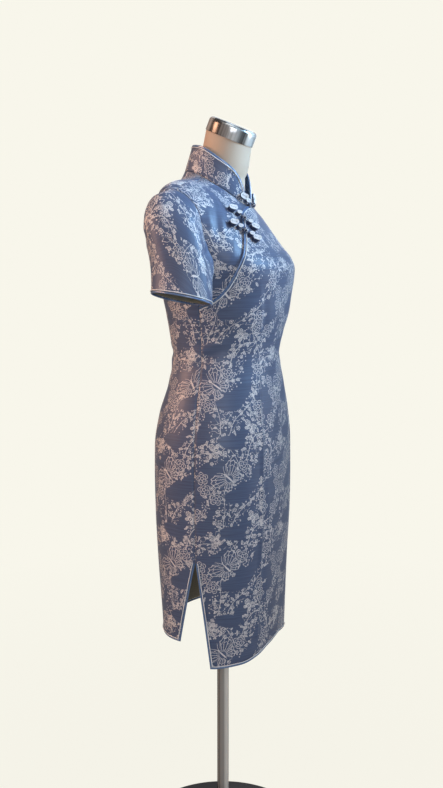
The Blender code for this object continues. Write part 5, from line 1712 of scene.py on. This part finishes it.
@dataclass
class Collar:
    """The standing collar with its curved front ends."""

    figure: Figure
    edge_table: tuple = ((0.0030, 0.0003), (0.0085, 0.0050), (0.0140, 0.0115), (0.0190, 0.0195),
                         (0.0245, 0.0290), (0.0305, 0.0375), (0.0380, 0.0445), (0.0470, 0.0495),
                         (0.0570, 0.0520), (0.0700, 0.0528), (0.0900, 0.0530), (0.1150, 0.0535),
                         (0.1450, 0.0540))
    start: float = 0.0030
    gap: float = 0.6 * MM
    top_middle: float = 0.0027
    top_half_depth: float = 0.0583
    top_half_width: float = 0.0565
    rise: float = 0.0520
    steps: int = 64
    rows: int = 16
    flat: Pair = (0.39, 0.055)
    area: float = 0.0165
    cloth_shift: Pair = (0.02, 1.262)

    def point(self, along: Values, height: Values) -> Array:
        """A place on it, by the distance from the middle of the front and the height above the seam."""
        along, height = np.broadcast_arrays(np.asarray(along, float), np.asarray(height, float))
        angle = self.figure.neck_angle(along)
        base = self.figure.neck_ring(angle)
        top = np.stack([self.top_half_width * np.sin(angle),
                        self.top_middle - self.top_half_depth * np.cos(angle), base[..., 2] + self.rise], -1)
        return base + height[..., None] * unit(top - base)

    def outward(self, along: Values, height: Values, step: float = 0.5 * MM) -> Array:
        """The outward direction at a place on it."""
        run = self.point(along + step, height) - self.point(along - step, height)
        rise = self.point(along, height + step) - self.point(along, height - step)
        return unit(np.cross(run, rise))

    def outline(self) -> tuple[Array, Array]:
        """The free edge, right front end to left front end, and its inward directions, both laid flat."""
        height = SmoothTable(list(self.edge_table))
        nape = self.figure.nape_along
        places = self.start + (nape - self.start) * np.linspace(0, 1, self.steps + 1) ** 1.7
        half = np.stack([places, height(places)], -1)
        run = unit(np.gradient(half, axis=0))
        inward = np.stack([run[:, 1], -run[:, 0]], -1)
        flip = np.array([-1.0, 1.0])
        edge = np.concatenate([half * flip, half[-2::-1]])
        inwards = np.concatenate([inward * flip, inward[-2::-1]])
        edge[len(half) - 1, 0] = -nape
        inwards[len(half) - 1] = (0.0, -1.0)
        return edge, inwards

    def raised(self, line: Array, floor: float) -> Array:
        """A flat line without what lies under a height, its ends brought down to it."""
        keep = np.flatnonzero(line[:, 1] > floor)
        line = line[keep[0]:keep[-1] + 1].copy()
        for end, inner in ((0, 1), (-1, -2)):
            step = line[end] - line[inner]
            line[end] += step * (floor - line[end, 1]) / min(step[1], -1e-6)
        return line

    def make(self) -> Pieces:
        """The collar's cloth, binding and piping."""
        edge, inward = self.outline()
        top = self.raised(edge + CUT.panel_back_off * inward, 2 * self.gap)
        share = np.linspace(0, 1, self.rows + 1)[:, None]
        along = np.broadcast_to(top[:, 0], (self.rows + 1, len(top)))
        height = self.gap + (top[:, 1] - self.gap) * share
        points, outward = self.point(along, height), self.outward(along, height)
        cloth_map = np.stack([along, height], -1) + self.cloth_shift
        made = [Sheet("collar_cloth", "collar", points, cloth_map, outward, self.flat, self.area,
                      reverse=Finish.SATIN).make()]
        outer = self.raised(edge, self.gap)
        share = shares_along(outer)
        lines = [outer]
        for inset, floor in ((CUT.binding_width, self.gap), (CUT.piping_inset, 4 * CUT.rest_gap)):
            line = self.raised(edge + inset * inward, floor)
            lines.append(at_lengths(line, share * lengths_along(line)[-1]))
        worn = [self.point(line[:, 0], line[:, 1]) for line in lines]
        outwards = [self.outward(line[:, 0], line[:, 1]) for line in lines]
        return made + Binding("collar", *worn, *outwards, trim=0.0).make()


# --- the frog fastenings ---
def seat_frame(point: Array, normal: Array, along: Array) -> Matrix:
    """A frame whose Z leaves the cloth and whose X runs along the frog."""
    z = Vector(normal).normalized()
    x = Vector(along)
    x = (x - x.dot(z) * z).normalized()
    return Matrix.Translation(Vector(point)) @ Matrix((x, z.cross(x), z)).transposed().to_4x4()


@dataclass
class Frog:
    """A frog fastening: on each side two oval coils of cord wound on edge, joined by a knot in a loop."""

    name: str
    large: Pair = (17.0 * MM, 13.0 * MM)
    small: Pair = (11.0 * MM, 9.4 * MM)
    height: float = 10.5 * MM
    large_out: float = 27.0 * MM
    small_out: float = 12.8 * MM
    knot_radius: float = 5.0 * MM
    lean: Triple = (-0.50, 0.0, 0.14)   # which way the coils' tops slant down, and how much
    knot_lift: float = 6.2 * MM
    loop_radius: float = 5.3 * MM
    loop_cord: float = 0.95 * MM
    loop_lift: float = 4.4 * MM
    wind: float = 1.25 * MM      # from one turn of a coil to the next
    edging: float = 0.62 * MM    # the silver cord on the coils' upper edge

    def spiral(self, size: Pair) -> Array:
        """An oval coil's line, from its middle outwards."""
        half_long, half_short = size[0] / 2 - self.edging, size[1] / 2 - self.edging
        turns = half_short / self.wind
        turn = np.linspace(0.06, 1, round(28 * turns)) * turns * tau
        share = turn / turn[-1]
        straight = (half_long - half_short) * np.minimum(share * 1.6, 1)
        return np.stack([half_short * share * np.cos(turn) + straight * np.sign(np.cos(turn))
                         * np.minimum(np.abs(np.cos(turn)) * 2.2, 1), half_short * share * np.sin(turn),
                         np.zeros(len(turn))], -1)

    def tape(self, size: Pair) -> Shape:
        """The navy tape of a coil, standing on its edge."""
        line = self.spiral(size)
        across = unit(np.cross(unit(np.gradient(line, axis=0)), (0.0, 0.0, 1.0)))
        up = np.broadcast_to((0.0, 0.0, 1.0), line.shape)
        section = section_round(0.94 * self.wind, self.height - self.edging, 0.0, 0.3 * MM, 2)
        section[:, 0] -= 0.47 * self.wind
        return swept(line, across, up, section)

    def edge_cord(self, size: Pair) -> Shape:
        """The silver cord along a coil's upper edge."""
        line = self.spiral(size) + (0.0, 0.0, self.height - self.edging)
        return swept(line, *cord_frames(line), section_ring(self.edging, 7))

    def leaned(self, bm: Shape, seat: Matrix) -> Shape:
        """Slant a coil's top, its foot left on the cloth."""
        slope = seat.to_3x3().transposed() @ Vector(self.lean)
        for vert in bm.verts:
            vert.co.z *= 1 - (slope.x * vert.co.x + slope.y * vert.co.y) / self.height
        return bm

    def plait(self, out: float, radius: float) -> Shape:
        """A cord plaited over a ball, as far out from its middle as stated."""
        turn = np.linspace(0, tau, 240, endpoint=False)
        latitude = 1.15 * np.sin(4 * turn)
        ball = out + 0.28 * MM * np.cos(8 * turn)
        line = ball[:, None] * np.stack([np.cos(latitude) * np.cos(3 * turn),
                                         np.cos(latitude) * np.sin(3 * turn), np.sin(latitude)], -1)
        across = unit(line)
        up = unit(np.cross(np.roll(line, -1, 0) - np.roll(line, 1, 0), across))
        bm = swept(line, across, up, section_ring(radius, 7), ring=True)
        bmesh.ops.translate(bm, vec=(0, 0, self.knot_lift), verts=bm.verts)
        return bm

    def knot(self) -> Shape:
        """A round button knot, one cord plaited over a ball."""
        bm = self.plait(self.knot_radius - 1.1 * MM, 1.0 * MM)
        core = bmesh.ops.create_uvsphere(bm, u_segments=16, v_segments=10, radius=self.knot_radius - 1.3 * MM)
        bmesh.ops.translate(bm, vec=(0, 0, self.knot_lift), verts=core["verts"])
        return bm

    def half(self, seats: tuple[Matrix, Matrix, Matrix], has_knot: bool) -> Pieces:
        """One half, on the frames of its large coil, its small coil and the crossing."""
        name = f"{self.name}_{'knot' if has_knot else 'loop'}"
        parts = bmesh.new()
        edging = bmesh.new()
        for size, seat in ((self.large, seats[0]), (self.small, seats[1])):
            self.add(parts, self.leaned(self.tape(size), seat), seat)
            self.add(edging, self.leaned(self.edge_cord(size), seat), seat)
        reach = self.small_out - self.small[0] / 4
        if has_knot:
            self.add(parts, self.knot(), seats[2])
            self.add(edging, self.plait(self.knot_radius - 0.25 * MM, 0.32 * MM), seats[2])
            stem = [(0, 0, 3.0), (reach / MM / 2, 0, 2.9), (reach / MM, 0, 2.6)]
            self.add(parts, self.run(stem, 0.9 * MM), seats[2])
        else:
            r, lift = self.loop_radius / MM, self.loop_lift / MM
            turn = np.linspace(0.16, tau - 0.16, 40)
            ring = [(r * cos(t), r * sin(t), lift) for t in turn]
            ends = [[(reach / MM, 1.1 * way, lift - 0.6), (r + 1.0, way, lift - 0.2)] for way in (1, -1)]
            self.add(parts, self.run(ends[0] + ring + ends[1][::-1], self.loop_cord, 3), seats[2])
        return [placed(f"{name}_tape", name, parts, Finish.FROG_CORD),
                placed(f"{name}_edging", None, edging, Finish.SILVER_CORD)]

    def run(self, places: list, radius: float, per_span: int = 12) -> Shape:
        """A length of cord through places given in millimetres."""
        line = spline(places, per_span) * MM
        return swept(line, *cord_frames(line), section_ring(radius, 8))

    @staticmethod
    def add(into: Shape, bm: Shape, seat: Matrix) -> None:
        """Put a finished part into the frog, on its seat."""
        bm.transform(seat)
        mesh = meshed("part", bm)
        into.from_mesh(mesh)
        bpy.data.meshes.remove(mesh)


@dataclass
class ChestFrog(Frog):
    """A frog square across the curved opening."""

    out: float = 0.0715          # how far right of the middle it crosses
    fall: Pair = (0.0, -13.0)   # each half turned from square, in degrees
    reach: Pair = (1.20, 1.0)   # how much longer each half is

    def make(self, figure: Figure, pattern: Pattern) -> Pieces:
        """Both halves: the knot on the right front, the loop on the front."""
        place = int(np.abs(figure.opening[:, 0] + self.out).argmin())
        crossing = figure.opening[place]
        normal = figure.outward(crossing[None])[0]
        square = Vector(figure.across_opening(figure.opening)[place])
        made = []
        for sign, fall, reach in zip((-1, 1), self.fall, self.reach):
            across = np.array(Matrix.Rotation(radians(fall), 3, Vector(normal)) @ square)
            seats = []
            for out in (self.large_out, self.small_out):
                point = figure.onto((crossing + sign * reach * out * across)[None])
                facing = figure.outward(point)
                off = 4 * CUT.rest_gap - pattern.drop(point)[0] if sign < 0 else CUT.rest_gap
                seats.append(seat_frame((point + off * facing)[0], facing[0], sign * across))
            seats.append(seat_frame(crossing, normal, sign * across))
            made += self.half(tuple(seats), sign < 0)
        return made


@dataclass
class CollarFrog(Frog):
    """The frog at the foot of the collar, its halves rising from the middle of the front."""

    height: float = 6.5 * MM
    places: tuple = ((0.0300, 0.0115), (0.0175, 0.0065))
    forward: float = 2.0 * MM

    def make(self, collar: Collar) -> Pieces:
        """Both halves, clear of the collar's piping."""
        clear = 2 * CUT.piping_radius + 2 * CUT.rest_gap
        crossing = collar.point(0.0, 0.0)
        normal = collar.outward(0.0, 0.0)
        made = []
        for sign in (-1.0, 1.0):
            seats = []
            away = collar.point(sign * self.places[0][0], self.places[0][1]) - crossing
            for out, height in self.places:
                facing = collar.outward(sign * out, height)
                seats.append(seat_frame(collar.point(sign * out, height) + clear * facing, facing, away))
            seats.append(seat_frame(crossing + self.forward * normal, normal, away))
            made += self.half(tuple(seats), sign < 0)
        return made


# --- the form and its stand ---
@dataclass
class DressForm:
    """The limbless form under the dress, with its chrome neck cap."""

    figure: Figure
    inset: float = 6.4 * MM
    shoulder_inset: float = 4.7 * MM
    shoulder_start: float = 1.346
    shoulder_blend: float = 0.012
    bottom: float = 0.800
    chest: float = 1.300         # from here up its rings stand closer
    top: float = 1.393
    arm_plate: float = 0.160
    arm_soft: float = 2.5 * MM   # the round at the arm plates
    neck_in: float = 6.0 * MM
    fillet: float = 0.010
    centre_share: float = 0.6
    count: int = 96
    # The neck's rings: their middles' places, y and z, their tilt in degrees and their radius.
    neck_levels: tuple = ((0.0020, 1.405, 7, 0.0500), (-0.0040, 1.425, 13, 0.0490),
                          (-0.0090, 1.452, 19, 0.0485), (-0.0125, 1.4705, 22.5, 0.0485))
    cap_radius: float = 0.0500
    cap_height: float = 0.029
    cap_round: float = 8.0 * MM
    cap_foot_round: float = 0.5 * MM
    gap: float = 0.3 * MM

    def level(self, z: float, turn: Array) -> Array:
        """One level ring of the torso."""
        table = self.figure.table
        centre = np.array([0.0, self.centre_share * float(table["middle"](z)), z])
        depth = (float(table["front"](z)) + float(table["back"](z))) / 2
        ray = unit(np.stack([max(float(table["half_width"](z)), 0.06) * np.cos(turn),
                             max(depth, 0.055) * np.sin(turn), np.zeros(len(turn))], -1))
        low, high = np.zeros(len(turn)), np.full(len(turn), 0.30)
        for _ in range(40):
            mid = (low + high) / 2
            inside = self.figure.field(centre + mid[:, None] * ray, self.neck_in, self.fillet) < 0
            low, high = np.where(inside, mid, low), np.where(inside, high, mid)
        ring = centre + low[:, None] * ray
        share = smooth_step((z - self.shoulder_start) / self.shoulder_blend)
        ring = ring - (self.inset + (self.shoulder_inset - self.inset) * share) * self.figure.outward(ring)
        below = (self.arm_plate - np.abs(ring[:, 0])) / self.arm_soft
        x = self.arm_plate - self.arm_soft * np.log1p(np.exp(below))
        ring[:, 0] = np.sign(ring[:, 0]) * np.maximum(x, 0)
        return ring

    def make_body(self) -> Piece:
        """The torso and its leaning neck, closed above and below."""
        turn = np.linspace(0, tau, self.count, endpoint=False)
        heights = np.concatenate([np.linspace(self.bottom, self.chest, 40),
                                  np.linspace(self.chest + 0.005, self.top, 34)])
        rings = [self.level(z, turn) for z in heights]
        rings[0][:, 2] = self.bottom
        table = np.array(self.neck_levels)
        for share in np.linspace(0, len(table) - 1, 13):
            y, z, tilt, radius = (float(np.interp(share, range(len(table)), table[:, k])) for k in range(4))
            flat = np.stack([radius * np.cos(turn), radius * np.sin(turn), np.zeros(len(turn))], -1)
            lean = np.array(Matrix.Rotation(radians(tilt), 3, "X"))
            rings.append(np.array([0.0, y, z]) + flat @ lean.T)
        points = np.array(rings)
        points = np.concatenate([points, points[:, :1]], 1)
        bm = closed(grid_mesh(points, np.zeros((*points.shape[:2], 2))))
        return placed("form_body", "form_torso", bm, Finish.FORM_COVER)

    def make_cap(self) -> Piece:
        """The chrome cap."""
        bm = bmesh.new()
        bmesh.ops.create_cone(bm, cap_ends=True, segments=128, radius1=self.cap_radius,
                              radius2=self.cap_radius, depth=self.cap_height)
        rim = [edge for edge in bm.edges if all(vert.co.z > 0 for vert in edge.verts)]
        bmesh.ops.bevel(bm, geom=rim, offset=self.cap_round, segments=10, profile=0.5, affect="EDGES",
                        material=-1)
        low = 0.1 * MM - self.cap_height / 2
        foot = [edge for edge in bm.edges if all(vert.co.z < low for vert in edge.verts)]
        bmesh.ops.bevel(bm, geom=foot, offset=self.cap_foot_round, segments=2, profile=0.5, affect="EDGES",
                        material=-1)
        bmesh.ops.translate(bm, vec=(0, 0, self.cap_height / 2 + self.gap), verts=bm.verts)
        y, z, tilt, _ = self.neck_levels[-1]
        bm.transform(Matrix.Translation((0, y, z)) @ Matrix.Rotation(radians(tilt), 4, "X"))
        return placed("form_cap", "form_neck_cap", bm, Finish.CAP_CHROME)

    def make(self) -> Pieces:
        """The form and its cap."""
        return [self.make_body(), self.make_cap()]


@dataclass
class Stand:
    """The pole and the round base plate with its socket."""

    form_bottom: float = 0.800
    pole_radius: float = 0.0125
    base_radius: float = 0.176
    base_height: float = 0.014
    socket_radius: float = 0.024
    socket_height: float = 0.050
    gap: float = 0.3 * MM

    def make_pole(self) -> Piece:
        """The pole, standing in the socket."""
        bm = bmesh.new()
        foot = self.base_height + self.gap
        length = self.form_bottom - self.gap - foot
        bmesh.ops.create_cone(bm, cap_ends=True, segments=64, radius1=self.pole_radius,
                              radius2=self.pole_radius, depth=length)
        bmesh.ops.translate(bm, vec=(0, 0, foot + length / 2), verts=bm.verts)
        return placed("pole_tube", "stand_pole", bm, Finish.POLE_CHROME)

    def make_base(self) -> Piece:
        """The plate and its socket, spun from their outline."""
        bore, top = self.pole_radius + self.gap, self.base_height + self.socket_height
        high, radius = self.base_height, self.base_radius
        outline = [(0.0, high), (bore, high), (bore, top), (self.socket_radius - 2 * MM, top),
                   (self.socket_radius - 0.6 * MM, top - 0.6 * MM), (self.socket_radius, top - 2 * MM),
                   (self.socket_radius, high + 4 * MM), (self.socket_radius + 2.4 * MM, high + 1.4 * MM),
                   (self.socket_radius + 8 * MM, high), (radius - 8 * MM, high - 4 * MM),
                   (radius - 2 * MM, high - 6.2 * MM), (radius, high - 9 * MM), (radius, 1 * MM),
                   (radius - 1 * MM, 0.0), (0.0, 0.0)]
        bm = bmesh.new()
        verts = [bm.verts.new((x, 0, z)) for x, z in outline]
        edges = [bm.edges.new(pair) for pair in zip(verts, verts[1:])]
        bmesh.ops.spin(bm, geom=verts + edges, cent=(0, 0, 0), axis=(0, 0, 1), angle=tau, steps=128,
                       use_merge=True)
        return placed("base_plate", "stand_base", closed(bm, 0.01 * MM), Finish.BASE_PAINT)

    def make(self) -> Pieces:
        """The pole and the base."""
        return [self.make_pole(), self.make_base()]


# --- the studio ---
@dataclass
class Studio:
    """A plain pale floor, the camera, and lights: cool on the front, warm behind, soft ones all round."""

    backdrop: Colour = rgb(248, 246, 235)
    paper: Colour = (0.55, 0.54, 0.50)
    sky: Colour = (0.95, 0.95, 0.96)
    sky_strength: float = 0.17
    eye_out: float = 2.15
    eye_turn: float = radians(71.0)
    eye_height: float = 1.261
    pitch: float = radians(8.1)
    focal_pixels: float = 1050.0
    long_side: int = 788
    sensor: float = 36.0
    centre_pixel: float = 223.0
    frame_width: int = 443
    # name, place, aim, size, watts, colour, spread in degrees
    lights: tuple = (
        ("window", (0.4, -1.75, 2.35), (0.0, 0.0, 1.92), (0.9, 0.9), 19.5, (0.38, 0.67, 1.0), 62),
        ("lamp", (-1.2, 2.4, 2.0), (0.0, 0.0, 1.12), (1.0, 1.3), 7.0, (1.0, 0.56, 0.36), 50),
        ("fill", (-3.1, -1.5, 1.6), (0.0, 0.0, 0.95), (1.6, 1.6), 55.0, (0.82, 0.88, 1.0), 180),
        ("front_fill", (1.2, -3.0, 0.8), (0.0, 0.0, 0.7), (1.6, 1.2), 22.0, (0.90, 0.95, 1.0), 180),
        ("overhead", (-0.6, -0.2, 3.2), (0.0, 0.0, 1.2), (1.2, 1.2), 10.0, (0.95, 0.96, 1.0), 180),
        ("far_side", (2.4, 0.6, 2.2), (0.0, 0.0, 1.0), (1.6, 2.0), 9.0, (0.96, 0.96, 1.0), 180),
    )

    def make_floor(self) -> None:
        """A wide floor that fades into the backdrop."""
        bm = bmesh.new()
        bmesh.ops.create_circle(bm, cap_ends=True, segments=96, radius=40.0)
        shade = Shade("floor_paper")
        far = shade.clamped((shade.vector("LENGTH", shade.place()) - 0.5) / 1.6)
        light = shade.wire("ShaderNodeEmission", 0, {"Color": (*self.backdrop, 1.0), "Strength": 1.0})
        paper = shade.wire("ShaderNodeBsdfDiffuse", 0, {"Color": (*self.paper, 1.0)})
        share = (0.96 + 0.04 * far) * shade.seen()
        both = shade.wire("ShaderNodeMixShader", 0, {0: share, 1: paper, 2: light})
        shade.node("ShaderNodeOutputMaterial", {0: both})
        mesh = meshed("floor", bm)
        mesh.materials.append(shade.owner)
        floor = linked("floor", mesh)
        floor.location.z = -0.5 * MM
        floor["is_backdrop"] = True

    def make_world(self) -> None:
        """The backdrop as the camera sees it, and dimmer light from it."""
        shade = Shade("studio", world=True)
        bpy.context.scene.world = shade.owner
        seen = shade.wire("ShaderNodeBackground", 0, {0: (*self.backdrop, 1.0)})
        cast = shade.wire("ShaderNodeBackground", 0, {0: (*self.sky, 1.0), 1: self.sky_strength})
        both = shade.wire("ShaderNodeMixShader", 0, {0: shade.seen(), 1: cast, 2: seen})
        shade.node("ShaderNodeOutputWorld", {0: both})

    def add_light(self, name: str, place: tuple, aim: tuple, size: tuple, power: float, colour: Colour,
                  spread: float) -> None:
        """An area light aimed at a point, its beam's spread in degrees."""
        data = bpy.data.lights.new(name, "AREA")
        data.shape = "RECTANGLE"
        data.size, data.size_y = size
        data.energy = power
        data.color = colour
        data.spread = radians(spread)
        light = linked(name, data)
        light.location = place
        light.rotation_euler = (Vector(aim) - Vector(place)).to_track_quat("-Z", "Y").to_euler()

    def make_camera(self) -> None:
        """The camera, level but for its pitch, shifted a hair to frame the figure."""
        data = bpy.data.cameras.new("camera")
        data.sensor_fit = "AUTO"
        data.sensor_width = self.sensor
        data.lens = self.focal_pixels * self.sensor / self.long_side
        data.shift_x = -(self.centre_pixel - self.frame_width / 2) / self.long_side
        camera = linked("camera", data)
        away = Vector((-sin(self.eye_turn), -cos(self.eye_turn), 0))
        camera.location = self.eye_out * away + Vector((0, 0, self.eye_height))
        look = -away * cos(self.pitch) - Vector((0, 0, sin(self.pitch)))
        camera.rotation_euler = look.to_track_quat("-Z", "Y").to_euler()
        bpy.context.scene.camera = camera

    def make(self) -> None:
        """Everything round the object."""
        bpy.context.scene.view_settings.view_transform = "Standard"
        self.make_floor()
        self.make_world()
        for light in self.lights:
            self.add_light(*light)
        self.make_camera()


def corners(box: object) -> list:
    """A box as plain lists of numbers."""
    return [[float(x) for x in corner] for corner in box]


def main() -> None:
    """Build the object over its frame."""
    logging.basicConfig(level=logging.INFO, format="%(name)s: %(message)s")
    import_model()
    solid_box = corners(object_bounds())
    Studio().make()
    figure = Figure()
    drape, pattern, collar = Drape(figure), Pattern(figure), Collar(figure)
    made = Panels(figure, drape, pattern).make()
    for side in Side:
        made += Sleeve(side, pattern, drape).make()
    made += collar.make()
    made += CollarFrog("frog_collar").make(collar)
    made += ChestFrog("frog_chest_upper", out=0.0715).make(figure, pattern)
    made += ChestFrog("frog_chest_lower", out=0.0975).make(figure, pattern)
    made += DressForm(figure).make()
    made += Stand().make()
    Sheet.declare()
    for piece in made:
        log.info("%s: %d faces", piece.name, len(piece.data.polygons))
    bpy.context.view_layer.update()
    {"cad": solid_box, "visual": corners(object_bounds())}


if __name__ == "__main__":
    main()
